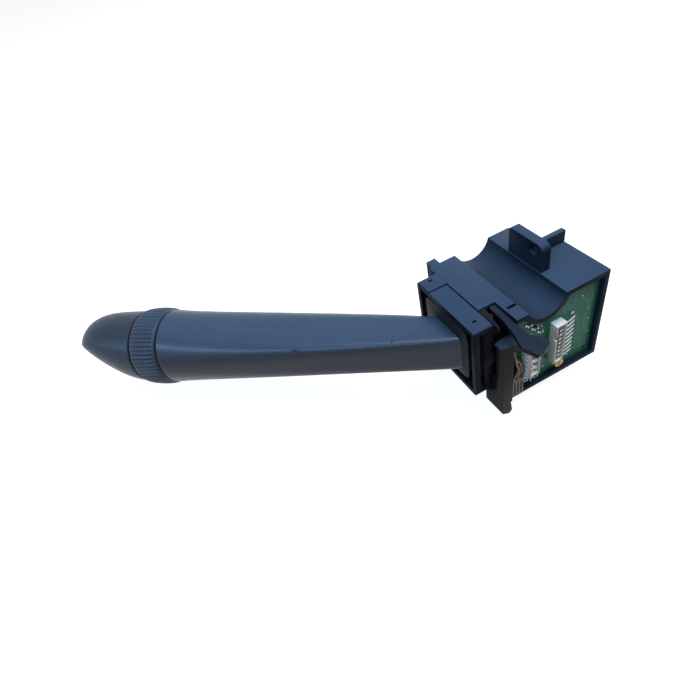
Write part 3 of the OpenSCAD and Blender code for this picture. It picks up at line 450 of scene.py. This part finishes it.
def block(bm, low, high, bevel):
    """Adds a box with rounded edges to a bmesh in millimetres."""
    verts = bmesh.ops.create_cube(bm, size=1.0)["verts"]
    for v in verts:
        v.co = Vector([lerp(a, b, c + 0.5) for a, b, c in zip(low, high, v.co)])
    edges = list({e for v in verts for e in v.link_edges})
    if bevel:
        bmesh.ops.bevel(bm, geom=edges, offset=bevel, segments=2, profile=0.5, affect="EDGES",
                        clamp_overlap=True)


def grooved(node, grooves):
    """A CAD node's mesh with boxes, given in millimetres, cut out of it."""
    bm = bmesh.new()
    for low, high in grooves:
        block(bm, low, high, 0)
    cutter = bpy.data.objects.new("cutter", finished(bm, "cutter"))
    worked = bpy.data.objects.new("worked", NODES[node].data.copy())
    for obj in (cutter, worked):
        bpy.context.scene.collection.objects.link(obj)
    cut = worked.modifiers.new("cut", "BOOLEAN")
    cut.object = cutter
    cut.solver = "EXACT"
    mesh = bpy.data.meshes.new_from_object(worked.evaluated_get(bpy.context.evaluated_depsgraph_get()))
    for obj in (cutter, worked):
        bpy.data.objects.remove(obj)
    return mesh


def eased(node, width):
    """Replaces a CAD node by a copy, grooved, and bevelled as far as its tightest spot allows."""
    bm = bmesh.new()
    bm.from_mesh(grooved(node, GROOVES[node]) if node in GROOVES else NODES[node].data)
    bmesh.ops.remove_doubles(bm, verts=bm.verts, dist=WELD_MM * MM)
    bmesh.ops.dissolve_limit(bm, angle_limit=FLAT_ANGLE, verts=bm.verts, edges=bm.edges)
    sharp = [e for e in bm.edges if len(e.link_faces) == 2 and e.calc_face_angle(0) > SHARP_ANGLE]
    bmesh.ops.bevel(bm, geom=sharp, offset=width * MM, segments=2, profile=0.5, affect="EDGES",
                    clamp_overlap=True)
    mesh = bpy.data.meshes.new(node)
    bm.to_mesh(mesh)
    bm.free()
    for layer in ("custom_normal", "sharp_edge", "sharp_face"):
        if layer in mesh.attributes:
            mesh.attributes.remove(mesh.attributes[layer])
    smooth(mesh, 35)
    add(node + "_look", mesh, DRESS_OF[node], BODY_OF[node], node)


# Corners of the box that cuts the seam between frame and case, across the whole top
SEAM = ((FRAME_REAR - 0.25, -16, FRAME_TOP - 0.8), (FRAME_REAR + 0.25, 22, FRAME_TOP + 0.3))
GROOVES = {"main_case": [SEAM], "front_frame": [SEAM]}
# Points nearer than this are one, faces that turn less than this are one, and edges above this are bevelled
WELD_MM = 0.002
FLAT_ANGLE = math.radians(1)
SHARP_ANGLE = math.radians(28)
# Nodes that are bevelled, with the width asked for in millimetres. The tightest spot limits a whole node: the
# plug and screw get the full width, the header and bearing plate under 0.02, the other four next to nothing
EASED = {"main_case": 0.22, "front_frame": 0.30, "cable_guard": 0.25, "cancel_finger": 0.30,
         "main_connector": 0.12, "wire_plug": 0.12, "bearing_plate": 0.15, "board_screws": 0.10}
for node, width in EASED.items():
    eased(node, width)


def ease(t):
    """0 to 1 with a soft start and end."""
    return t * t * (3 - 2 * t)


def superpoint(angle, width, height, power):
    """A point of an outline that is an ellipse at power 2 and close to a rectangle at 8."""
    c, s = math.cos(angle), math.sin(angle)
    r = (abs(c) ** power + abs(s) ** power) ** (-1 / power)
    return width / 2 * r * c, height / 2 * r * s


def tube(rings, closed_ends=(False, False), joined=False):
    """Points and faces of a skin through rings of equal length; joined ties the last ring to the first."""
    n = len(rings[0])
    rows = len(rings)
    points = [p for ring in rings for p in ring]
    faces = []
    for r in range(rows if joined else rows - 1):
        for i in range(n):
            j = (i + 1) % n
            low, high = r * n, (r + 1) % rows * n
            faces.append((low + i, low + j, high + j, high + i))
    if closed_ends[0]:
        faces.append(tuple(range(n - 1, -1, -1)))
    if closed_ends[1]:
        faces.append(tuple(range((rows - 1) * n, rows * n)))
    return points, faces


def swept(path, radius, sides=12):
    """Rings of a round wire along a path."""
    rings = []
    side = None
    for i, p in enumerate(path):
        ahead = Vector(path[min(i + 1, len(path) - 1)]) - Vector(path[max(i - 1, 0)])
        ahead.normalize()
        if side is None:
            side = ahead.orthogonal()
        side = (side - ahead * side.dot(ahead)).normalized()
        other = ahead.cross(side)
        rings.append([Vector(p) + radius * (math.cos(a) * side + math.sin(a) * other)
                      for a in (2 * math.pi * k / sides for k in range(sides))])
    return rings


def curve_point(p0, p1, p2, p3, t):
    """A point between p1 and p2 of a curve that passes smoothly through all four."""
    out = []
    for a, b, c, d in zip(p0, p1, p2, p3):
        square = 2 * a - 5 * b + 4 * c - d
        cube = 3 * b - a - 3 * c + d
        out.append(0.5 * (2 * b + (c - a) * t + square * t * t + cube * t ** 3))
    return out


def smooth_path(points, steps):
    """A smooth route through points, with some steps between each two."""
    last = len(points) - 1
    out = []
    for i in range(last):
        for k in range(steps):
            out.append(curve_point(points[max(i - 1, 0)], points[i], points[i + 1], points[min(i + 2, last)],
                                   k / steps))
    return out + [list(points[last])]


def many(parts, place=None, angle=40):
    """One mesh from several sets of points and faces."""
    points, faces = [], []
    for pts, fcs in parts:
        base = len(points)
        points += pts
        faces += [tuple(base + i for i in f) for f in fcs]
    return mesh_from(points, faces, place, angle)


# Lever shell, with a softly rounded end beside the ring. Its root is cut along the front face of the skirt
SHELL_POINTS = 144
ROOT_GAP = 0.03
FACE_LEAN = math.tan(LEVER_YAW) / math.cos(LEVER_DROP)
FACE_TIP = math.tan(LEVER_DROP)
FACE_LOCAL = (FACE_X - PIVOT.x) / (math.cos(LEVER_DROP) * math.cos(LEVER_YAW)) + ROOT_GAP


def shell_ring(t, inset):
    """Outline of the shell at a share of its length, drawn in by an inset: a soft box at 0, round at 1."""
    x = lerp(FACE_LOCAL, SHELL_END, t)
    width = lerp(ROOT_WIDTH, HEAD_DIAMETER, t ** 0.775)
    height = lerp(ROOT_HEIGHT, HEAD_DIAMETER, t ** 2.6)
    power = lerp(2, 8, (1 - t) ** 1.6)
    shift = lerp(ROOT_SHIFT, 0, ease(t))
    lean = (1 - t) ** 6
    ring = []
    for i in range(SHELL_POINTS):
        y, z = superpoint(2 * math.pi * i / SHELL_POINTS, width - 2 * inset, height - 2 * inset, power)
        y, z = y - shift, z + shift
        ring.append((x + lean * (FACE_LEAN * y - FACE_TIP * z), y, z))
    return ring


def lever_shell():
    """Hollow lever, with a rounded edge at its wide end and an even wall."""
    rows, edge_rows, inner_rows = 64, 4, 12
    length = SHELL_END - FACE_LOCAL
    edge = 0.45
    rings = [shell_ring((1 - edge / length) * i / rows, 0) for i in range(rows + 1)]
    for k in range(1, edge_rows + 1):
        a = math.pi / 2 * k / edge_rows
        rings.append(shell_ring(1 - edge * (1 - math.sin(a)) / length, edge * (1 - math.cos(a))))
    rings += [shell_ring(1 - i / inner_rows, SHELL_WALL) for i in range(inner_rows + 1)]
    points, faces = tube(rings, joined=True)
    add("lever_shell_look", mesh_from(points, faces, ALONG_LEVER, 40), "lever", "lever", "lever_shell")


lever_shell()


# Outlines of the skirt: a soft box at the bore and a sharper one outside
BORE_POWER, SKIRT_POWER = 6, 7


def lever_skirt():
    """Flared bezel round the lever's root, with soft corners between its flat sides."""
    count = 128
    wall = 1.3
    back_x = FACE_X + wall
    base_x, rear_x = FRAME_FRONT + 0.6, FRAME_FRONT + 1.9
    face_low = (PIVOT.y - 2.2, PIVOT.z - 7.6)
    face_high = (PIVOT.y + 14.2, PIVOT.z + 6.7)
    low = (FRAME_NEAR + 2.45, FRAME_BOTTOM + 2.75)
    high = (FRAME_FAR - 1.35, FRAME_TOP - 2.95)
    rear_low, rear_high = (low[0] + 0.8, low[1] + 0.8), (high[0] - 0.8, high[1] - 0.8)
    # the far side leaves room for the bearing, as in the CAD, and here also for the frame when it turns
    notch_x, notch_y, notch_z = base_x + 0.6, rear_high[0] - 2.2, 5.4

    def neck(x):
        """Corners of the room round the lever's root at one x."""
        y = PIVOT.y + math.tan(LEVER_YAW) * (x - PIVOT.x)
        return (y - 4.4, PIVOT.z - 5.1), (y + 4.4, PIVOT.z + 4.7)

    def ring(x, lo, hi, inset, power):
        """An outline at one x between two corners in Y and Z, drawn in by an inset."""
        width, height = (b - a - 2 * inset for a, b in zip(lo, hi))
        out = []
        for i in range(count):
            y, z = superpoint(2 * math.pi * i / count, width, height, power)
            out.append((x, (lo[0] + hi[0]) / 2 + y, (lo[1] + hi[1]) / 2 + z))
        return out

    def between(a, b, t):
        """A ring at a share of the way from one ring to another."""
        return [tuple(lerp(u, v, t) for u, v in zip(p, q)) for p, q in zip(a, b)]

    bore = ring(FACE_X, *neck(FACE_X), 0, BORE_POWER)
    face = ring(FACE_X, face_low, face_high, 0, SKIRT_POWER)
    base = ring(base_x, low, high, 0.1, SKIRT_POWER)
    rear = ring(rear_x, rear_low, rear_high, 0, SKIRT_POWER)
    outer = [bore, between(bore, face, 0.6), between(bore, face, 0.93)]
    outer += [between(face, base, t) for t in (0.05, 0.3, 0.6, 0.9, 0.97)]
    outer += [between(base, rear, t) for t in (0.03, 0.15, 0.35, 1.0)]
    inner = [ring(rear_x, rear_low, rear_high, wall, SKIRT_POWER),
             ring(base_x + 0.4, low, high, wall, SKIRT_POWER),
             ring(back_x, face_low, face_high, 0.4, SKIRT_POWER),
             ring(back_x, *neck(back_x), 0, BORE_POWER)]
    points, faces = tube(outer + inner, joined=True)
    keep = []
    for f in faces:
        c = sum((Vector(points[k]) for k in f), Vector()) / len(f)
        if not (c.x > notch_x and c.y > notch_y and abs(c.z - PIVOT.z) < notch_z):
            keep.append(f)
    add("lever_skirt_look", mesh_from(points, keep, None, 30), "skirt", "lever", "lever_skirt")


lever_skirt()


# The button's outline: how blunt its top side and its wedge are, and where round it the wedge lies
BUTTON_POINTS = 128
TOP_POWER, WEDGE_POWER = 4.6, 1.7
WEDGE_ANGLE = math.radians(-38)


def button_ring(u, radius, length):
    """One ring of the bullet shaped button, wedge shaped on its near lower side."""
    full = radius * math.sqrt(max(1 - u ** TOP_POWER, 0))
    low = radius * (1 - u ** WEDGE_POWER)
    side_y, side_z = math.cos(WEDGE_ANGLE), math.sin(WEDGE_ANGLE)
    ring = []
    for i in range(BUTTON_POINTS):
        a = 2 * math.pi * i / BUTTON_POINTS
        y, z = full * math.cos(a), full * math.sin(a)
        cut = max(y * side_y + z * side_z, 0) * (1 - low / full)
        ring.append((BUTTON_START + length * u, y - cut * side_y, z - cut * side_z))
    return ring


def end_button():
    """Hollow button with a round lip beside the ring; the last rings stop short of the point of its tip."""
    rows, lip_rows, inner_rows = 56, 4, 12
    edge = 0.35
    outer = [button_ring(0.9985 * math.sin(math.pi / 2 * i / rows), BUTTON_RADIUS, BUTTON_LENGTH)
             for i in range(rows + 1)]
    lip = []
    for k in range(lip_rows):
        a = math.pi / 2 * k / lip_rows
        x = BUTTON_START + edge * (1 - math.cos(a))
        shrink = (BUTTON_RADIUS - edge * (1 - math.sin(a))) / BUTTON_RADIUS
        lip.append([(x, p[1] * shrink, p[2] * shrink) for p in outer[0]])
    outer = [[(p[0] + edge * (1 - j / rows), p[1], p[2]) for p in ring] for j, ring in enumerate(outer)]
    inner = [button_ring(0.997 * math.sin(math.pi / 2 * (1 - i / inner_rows)), BUTTON_RADIUS - BUTTON_WALL,
                         BUTTON_LENGTH - 2.2) for i in range(inner_rows + 1)]
    points, faces = tube(inner + lip + outer, (True, True))
    add("end_button_look", mesh_from(points, faces, ALONG_LEVER, 40), "button", "button", "end_button")


end_button()


def selector_ring():
    """Barrel shaped ring with rounded ribs that fade out before the plain band beside the lever."""
    # height of one rib from point to point round the ring, as a share of the full height
    profile = [0.0, 0.0, 0.12, 0.62, 0.95, 1.0, 1.0, 0.95, 0.62, 0.12]
    per_rib = len(profile)
    count = RIB_COUNT * per_rib
    crown = RING_RADIUS - RIB_HEIGHT
    barrel = 0.5

    def root(x):
        """Radius between the ribs, which falls off towards both ends."""
        return crown - barrel * (2 * x / RING_WIDTH - 1) ** 2

    # place along the ring, radius, and share of the ribs' height there
    stations = [(0.0, root(0) - 0.6, 0), (0.08, root(0) - 0.3, 0), (0.3, root(0.3) - 0.05, 0)]
    stations += [(x, root(x) + 0.15, 0) for x in (0.55, 0.8, 0.95)]
    stations += [(1.1, root(1.1) + 0.05, 0.3), (1.3, root(1.3), 0.8), (1.6, root(1.6), 1.0)]
    stations += [(x, root(x), 1.0) for x in (3.0, 4.2, 5.4, 6.6, 7.8, 9.0, 9.8)]
    stations += [(10.4, root(10.4), 0.9), (10.8, root(10.8) - 0.05, 0.6), (11.1, root(11.1) - 0.2, 0.25),
                 (RING_WIDTH, root(RING_WIDTH) - 0.5, 0)]
    wide, narrow, step_x = crown - 1.8, SPIGOT_RADIUS + 0.05, 8.0
    bore = [(RING_WIDTH, wide), (step_x, wide), (step_x, narrow), (0.0, narrow)]
    rings = []
    angles = [2 * math.pi * i / count for i in range(count)]
    for x, radius, rise in stations:
        radii = [radius + rise * RIB_HEIGHT * profile[i % per_rib] for i in range(count)]
        rings.append([(RING_START + x, r * math.cos(a), r * math.sin(a)) for r, a in zip(radii, angles)])
    for x, radius in bore:
        rings.append([(RING_START + x, radius * math.cos(a), radius * math.sin(a)) for a in angles])
    points, faces = tube(rings, joined=True)
    add("selector_ring_look", mesh_from(points, faces, ALONG_LEVER, 40), "ring", "ring", "selector_ring")


selector_ring()


def coil(radius, wire_radius, low, high, turns, place):
    """A round wire spring along X, from low to high."""
    steps = turns * 32
    path = []
    for i in range(steps + 1):
        a = 2 * math.pi * turns * i / steps
        path.append((lerp(low + wire_radius, high - wire_radius, i / steps), radius * math.cos(a),
                     radius * math.sin(a)))
    return mesh_from(*tube(swept(path, wire_radius, 10), (True, True)), place, 50)


FINGER_PIN = Matrix.Translation((-19.2, -6.9, -9.8))
# Coil radius, wire radius, both ends and turns. A spring ends short of a plunger or stem by its travel
SPRINGS = {
    "cancel_spring": coil(1.2, 0.13, 0.65, 1.65, 2, FINGER_PIN),
    "turn_plunger_spring": coil(1.4, 0.25, 11.4, 15.1, 4, AT_PIVOT),
    "beam_plunger_spring": coil(0.9, 0.12, 2.2, 2.75, 2, AT_PIVOT),
    "button_spring": coil(SPIGOT_BORE - 1.9, 0.35, SHELL_END - 1, BUTTON_START + 0.6, 6, ALONG_LEVER),
}
for node, mesh in SPRINGS.items():
    add(node + "_look", mesh, DRESS_OF[node], BODY_OF[node], node)


# Ends of the plug and of the guard, between which the wires of the bay run
PLUG_LEFT = BAY_X - 4.9 + 0.04
PLUG_TOP = BOTTOM_Z + 8.4
GUARD_RIM = PIVOT.x + 8 - 2.8
GUARD_TOP = PIVOT.z + 5.6
WIRE_RADIUS = 0.45


def bay_wires():
    """Four wires from the plug up behind the guard, each in its own sleeve."""
    parts = []
    for i in range(4):
        x = PLUG_LEFT + 0.8 + 0.6 * i + (0.3 if i > 1 else 0)
        y = NEAR_Y - 0.05 + 0.95 * (i % 2)
        lean = 1.7 - 0.27 * i
        points = [(x, y, PLUG_TOP - 0.3), (x, y, PLUG_TOP + 1.1), (x + 0.6 * lean, y, PLUG_TOP + 2.8),
                  (x + lean, y, PLUG_TOP + 4.6), (x + 0.5 * lean, y + 0.1, PLUG_TOP + 7.2),
                  (GUARD_RIM + 1.9, y + 0.7 - 0.4 * i, PLUG_TOP + 9.4),
                  (GUARD_RIM + 1.25, y + 2.7 - 1.1 * i, GUARD_TOP - 3.6)]
        parts.append(tube(swept(smooth_path(points, 10), WIRE_RADIUS, 14), (True, True)))
    add("bay_wires_look", many(parts), "sleeve", "housing", "bay_wires")


bay_wires()


def lever_wires():
    """Two wires through the lever that sway a little on their way."""
    steps = 96
    parts = []
    for s in (-1, 1):
        path = []
        for i in range(steps + 1):
            t = i / steps
            sway = math.sin(math.pi * t)
            path.append((lerp(5.2, SHELL_END - 2, t), s * 0.8 + 0.8 * sway * math.sin(2 * math.pi * t),
                         0.6 * sway * math.sin(3 * math.pi * t)))
        parts.append(tube(swept(path, WIRE_RADIUS), (True, True)))
    add("lever_wires_look", many(parts, ALONG_LEVER), "sleeve", "lever", "lever_wires")


lever_wires()


# Width of most tracks and of those of the header, height of all above the board, and how deep their feet go
TRACK, THIN_TRACK = 0.26, 0.24
TRACK_RISE, TRACK_FOOT = 0.03, 0.01


def ribbon(bm, path, width):
    """A flat track on the board along points in X and Z, a little proud of it."""
    section = ((-1.25, -TRACK_FOOT), (-1, TRACK_RISE), (1, TRACK_RISE), (1.25, -TRACK_FOOT))
    rows = []
    for i, p in enumerate(path):
        a, b = Vector(path[max(i - 1, 0)]), Vector(path[min(i + 1, len(path) - 1)])
        ahead = (b - a).normalized()
        side = Vector((-ahead.y, ahead.x)) * width / 2
        rows.append([bm.verts.new((p[0] + s * side.x, BOARD_Y - d, p[1] + s * side.y)) for s, d in section])
    for a, b in zip(rows, rows[1:]):
        for k in range(3):
            bm.faces.new((a[k], a[k + 1], b[k + 1], b[k]))
    bm.faces.new(rows[0])
    bm.faces.new(list(reversed(rows[-1])))


def dome(bm, x, z, radius, height, hole=0.0):
    """A low round hump of solder on the board, or a ring of it where hole gives the radius of a hole."""
    sides, steps = 20, 6
    rows = []
    for k in range(steps + 1):
        t = k / steps
        r = lerp(radius, hole, t)
        y = BOARD_Y - height * math.sin(math.pi * min(t + 0.02, 1) * (1.0 if hole else 0.5)) ** 0.7
        if r > 1e-6:
            angles = [2 * math.pi * i / sides for i in range(sides)]
            rows.append([bm.verts.new((x + r * math.cos(a), y, z + r * math.sin(a))) for a in angles])
        else:
            rows.append([bm.verts.new((x, y, z))])
    for a, b in zip(rows, rows[1:]):
        for i in range(sides):
            j = (i + 1) % sides
            if len(b) == 1:
                bm.faces.new((a[i], a[j], b[0]))
            else:
                bm.faces.new((a[i], a[j], b[j], b[i]))


# Header sizes, as in the CAD
MAIN_WAYS, MAIN_PITCH = 9, 1.8
MAIN_LEFT, MAIN_WIDTH = SADDLE_X + 3.1, 3.9
MAIN_TOP = BOTTOM_Z + 7.8 + (MAIN_WAYS - 1) * MAIN_PITCH + 2
LAMP_LEFT, LAMP_WIDTH, LAMP_DEPTH = -14.07, 4.8, 3.2
LAMP_TOP, LAMP_LENGTH = PIVOT.z - 0.8, 11.5


def pin_z(i):
    """Height of one pin of the tall header, from the top."""
    return MAIN_TOP - 1 - i * MAIN_PITCH


def board_traces():
    """Tracks on the board: arcs under the saddle, a fan from each header and rows down the rear edge."""
    bm = bmesh.new()
    arc_steps = 20
    for k in range(6):
        r = 11.6 + 0.62 * k
        angles = [math.radians(lerp(-64 + 2 * k, -18, i / arc_steps)) for i in range(arc_steps + 1)]
        arc = [(SADDLE_X + r * math.cos(a), SADDLE_Z + r * math.sin(a)) for a in angles]
        ribbon(bm, arc + [(arc[-1][0] + 0.5 + 0.1 * k, arc[-1][1] + 1.2)], TRACK)
    for i in range(MAIN_WAYS):
        left, z = MAIN_LEFT + MAIN_WIDTH + 4.9, pin_z(i)
        right = left + 0.8 + 0.42 * i
        foot = max(z - 3.4, BOTTOM_Z + 3 + 0.25 * i)
        ribbon(bm, [(left, z), (right, z), (right + 0.4, z - 0.4), (right + 0.4, foot)], THIN_TRACK)
    for k in range(4):
        x, z = 11.8 - 0.7 * k, TOP_Z - 7.5 - 0.7 * k
        ribbon(bm, [(x, BOTTOM_Z + 8 + 2 * k), (x, z), (x - 1.6, z + 1.5)], TRACK)
    for k in range(3):
        x, z = LAMP_LEFT + LAMP_WIDTH, LAMP_TOP - 2.5 - 2.5 * k
        turn = x + 1.2 + 0.4 * k
        ribbon(bm, [(x + 0.3, z), (turn, z), (turn + 1, z - 1), (turn + 1, BOTTOM_Z + 3.2 + 0.6 * k)], TRACK)
    add("board_traces", finished(bm, "board_traces"), "trace", "housing")


board_traces()

# Places on the board, in X and Z: holes, chips of the CAD with width and height, and two more chips
VIAS = [(7.6, -13.2), (10.9, -19.8), (11.6, -24.6), (4.6, -36.8), (-5.3, -35.9), (-7.0, -16.9), (12.2, -30.5)]
PARTS = [(BAY_X + 4.34, TOP_Z - 9.6, 1.6, 0.9), (BAY_X + 6.44, TOP_Z - 12.2, 1.2, 0.8),
         (BAY_X + 2.74, TOP_Z - 12.4, 0.9, 1.6), (BAY_X + 1.94, TOP_Z - 7, 1.4, 0.8),
         (BAY_X + 2.64, BOTTOM_Z + 4.2, 1.8, 0.9), (BAY_X + 5.44, BOTTOM_Z + 4.6, 1.2, 0.8),
         (BAY_X + 5.64, BOTTOM_Z + 2.6, 1.6, 0.8)]
SMALL_PARTS = [(-11.9, -38.3, 1.2, 0.7), (-10.2, -38.9, 0.7, 1.2)]


def board_parts():
    """Chip parts with tinned ends, their solder, and solder on the header's legs."""
    bodies, ends, solder = bmesh.new(), bmesh.new(), bmesh.new()
    # length of a tinned end, and how far the body lies inside the sides of the ends
    cap, inset = 0.28, 0.02
    top, cap_top = BOARD_Y - 0.55, BOARD_Y - 0.6
    for x, z, w, h in PARTS + SMALL_PARTS:
        lies = w > h
        half = (w / 2, h / 2)
        core = (half[0] - (cap if lies else inset), half[1] - (inset if lies else cap))
        block(bodies, (x - core[0], top, z - core[1]), (x + core[0], BOARD_Y, z + core[1]), 0.04)
        for s in (-1, 1):
            cx, cz = (x + s * (half[0] - cap / 2), z) if lies else (x, z + s * (half[1] - cap / 2))
            ex, ez = (cap / 2, half[1]) if lies else (half[0], cap / 2)
            block(ends, (cx - ex, cap_top, cz - ez), (cx + ex, BOARD_Y, cz + ez), 0.07)
            dome(solder, cx + (s * 0.2 if lies else 0), cz + (0 if lies else s * 0.2), 0.42, 0.2)
    for i in range(MAIN_WAYS):
        dome(solder, MAIN_LEFT + MAIN_WIDTH + 4.5, pin_z(i), 0.55, 0.28)
    for x, z in VIAS:
        dome(solder, x, z, 0.26, 0.03, hole=0.14)
    add("chip_bodies", finished(bodies, "chip_bodies"), "ceramic", "housing", "board_components")
    add("chip_ends", finished(ends, "chip_ends"), "tinned", "housing")
    add("solder", finished(solder, "solder", 50), "solder", "housing")


board_parts()


# Corners of the rib beside the guard, across the joint of frame and case
WEB_LOW, WEB_HIGH = (FRAME_REAR - 0.3, -12.7, -35.3), (FRAME_REAR + 0.7, -11.3, -29.5)


def case_web():
    """Rib of the case that closes the slit between the frame and the guard."""
    bm = bmesh.new()
    block(bm, WEB_LOW, WEB_HIGH, 0.05)
    add("case_web", finished(bm, "case_web"), "inner", "housing")


case_web()


def lamp_connector():
    """Four way header: a pale block with two columns of square sockets in its left side."""
    bm = bmesh.new()
    left, right = LAMP_LEFT, LAMP_LEFT + LAMP_WIDTH
    near, far = BOARD_Y - LAMP_DEPTH, BOARD_Y
    low, high = LAMP_TOP - LAMP_LENGTH, LAMP_TOP
    rows, columns, inner_ribs = 6, 2, 3
    wall, bar, post = 0.62, 0.34, 0.25
    # right side wall, both ends and floor of the open box
    block(bm, (right - wall, near, low), (right, far, high), 0.1)
    for a, b in ((high - wall, high), (low, low + wall)):
        block(bm, (left + 0.3, near, a), (right - 0.1, far, b), 0.1)
    block(bm, (left + 0.3, far - 0.9, low + 0.1), (right - 0.1, far, high - 0.1), 0.05)
    # lattice on the left side, with square sockets between its bars
    for i in range(rows + 1):
        z = min(max(low + i * (LAMP_LENGTH / rows), low + bar), high - bar)
        block(bm, (left, near, z - bar), (left + 1.5, far, z + bar), 0.08)
    for j in range(columns + 1):
        y = lerp(near + post, far - post, j / columns)
        block(bm, (left + 0.12, y - post, low + 0.1), (left + 1.4, y + post, high - 0.1), 0.06)
    block(bm, (left + 0.8, near + 0.3, low + 0.1), (left + 1.4, far - 0.3, high - 0.1), 0.04)
    # ribs inside the open near side
    for i in range(1, inner_ribs + 1):
        z = low + LAMP_LENGTH * i / (inner_ribs + 1)
        block(bm, (left + 1.3, near + 0.5, z - 0.2), (right - 0.5, far - 0.6, z + 0.2), 0.05)
    add("lamp_connector_look", finished(bm, "lamp_connector", 30), "header", "housing", "lamp_connector")


lamp_connector()


# Pale floor, 3 m to each side, that shows white to the camera and keeps the object's shadow
FLOOR_Z, FLOOR_REACH = -0.0502, 3
WHITE = (1, 1, 1, 1)


def grey(value):
    """A colour without hue, as linear values."""
    return (value, value, value, 1)


mesh = bpy.data.meshes.new("floor")
corners = [(x * FLOOR_REACH, y * FLOOR_REACH, FLOOR_Z) for x, y in ((-1, -1), (1, -1), (1, 1), (-1, 1))]
mesh.from_pydata(corners, [], [(0, 1, 2, 3)])
floor = bpy.data.objects.new("floor", mesh)
bpy.context.scene.collection.objects.link(floor)
f = Shader("floor")
seen = f.seen()
f.set(Base_Color=f.mix(seen, grey(0.06), grey(0.45)), Roughness=0.9, Specular_IOR_Level=0.0)
glow = f.node("Emission", {"Color": WHITE, "Strength": 0.90})
shown = f.node("AddShader", {0: f.bsdf.outputs[0], 1: glow.outputs[0]})
pick = f.node("MixShader", {0: seen, 1: f.bsdf.outputs[0], 2: shown.outputs[0]})
f.link(pick.outputs[0], f.out.inputs[0])
mesh.materials.append(f.material)

# World: a weak even light, white where it is seen
world = bpy.data.worlds.new("world")
bpy.context.scene.world = world
world.use_nodes = True
w = Nodes(world.node_tree)
dim = w.node("Background", {"Color": (0.70, 0.85, 1.0, 1), "Strength": 0.035})
white = w.node("Background", {"Color": WHITE, "Strength": 1.0})
pick = w.node("MixShader", {0: w.seen(), 1: dim.outputs[0], 2: white.outputs[0]})
w.node("OutputWorld", {"Surface": pick.outputs[0]})


def turned(across, up, behind):
    """A rotation that puts X, Y and Z along three directions."""
    return Matrix((across, up, behind)).transposed().to_4x4()


def area_light(name, place, target, size, power, colour, along=(1, 0, 0)):
    """A rectangular lamp in metres and watts, whose first side lies along a direction."""
    data = bpy.data.lights.new(name, "AREA")
    data.shape = "RECTANGLE"
    data.size, data.size_y = size
    data.energy = power
    data.color = colour
    obj = bpy.data.objects.new(name, data)
    bpy.context.scene.collection.objects.link(obj)
    behind = (Vector(place) - Vector(target)).normalized()
    across = (Vector(along) - behind * behind.dot(Vector(along))).normalized()
    obj.matrix_world = Matrix.Translation(place) @ turned(across, behind.cross(across), behind)


# What the lamps point at, in metres, which way the streak lamp lies, and the colours of their light
CENTRE = (-0.06, 0.02, -0.02)
REAR_BLOCK = (0, 0, -0.02)
LEVER_MIDDLE = Vector((-0.085, 0.045, -0.02))
STREAK_SIDE = Vector((-0.76, -0.22, 0.61))
ALONG = (math.cos(LEVER_YAW), math.sin(LEVER_YAW), 0)
COOL, WARM, BLUE = (0.95, 0.98, 1.0), (1.0, 0.86, 0.72), (0.38, 0.70, 1.0)
area_light("sky", (0.10, -0.14, 1.0), CENTRE, (0.8, 0.7), 10.4, COOL)
area_light("back", (0.45, 0.65, 0.12), REAR_BLOCK, (0.7, 0.4), 1.2, COOL)
area_light("fill", (-0.3, -0.9, 0.10), CENTRE, (0.8, 0.3), 0.45, WARM)
area_light("streak", LEVER_MIDDLE + STREAK_SIDE, LEVER_MIDDLE, (0.9, 0.05), 4.5, BLUE, ALONG)

# Camera, placed as the photograph was taken; the focal length was fitted in pixels of the photo
CAMERA_AT = Vector((-85.82, -94.65, 94.23)) * MM
AZIMUTH, ELEVATION, ROLL = (math.radians(a) for a in (-14.25556, 44.80380, -16.80382))
FOCAL_PIXELS, PHOTO_PIXELS = 500, 700
SENSOR_MM = 36
back = Vector((math.sin(AZIMUTH) * math.cos(ELEVATION), -math.cos(AZIMUTH) * math.cos(ELEVATION),
               math.sin(ELEVATION)))
level = Vector((math.cos(AZIMUTH), math.sin(AZIMUTH), 0))
upward = level.cross(-back)
side = math.cos(ROLL) * level + math.sin(ROLL) * upward
upper = -math.sin(ROLL) * level + math.cos(ROLL) * upward
camera_data = bpy.data.cameras.new("camera")
camera_data.sensor_width = SENSOR_MM
camera_data.lens = FOCAL_PIXELS / PHOTO_PIXELS * SENSOR_MM
camera_data.clip_start = 0.005
camera = bpy.data.objects.new("camera", camera_data)
bpy.context.scene.collection.objects.link(camera)
camera.matrix_world = Matrix.Translation(CAMERA_AT) @ turned(side, upper, back)
bpy.context.scene.camera = camera

bpy.context.scene.view_settings.view_transform = "Standard"
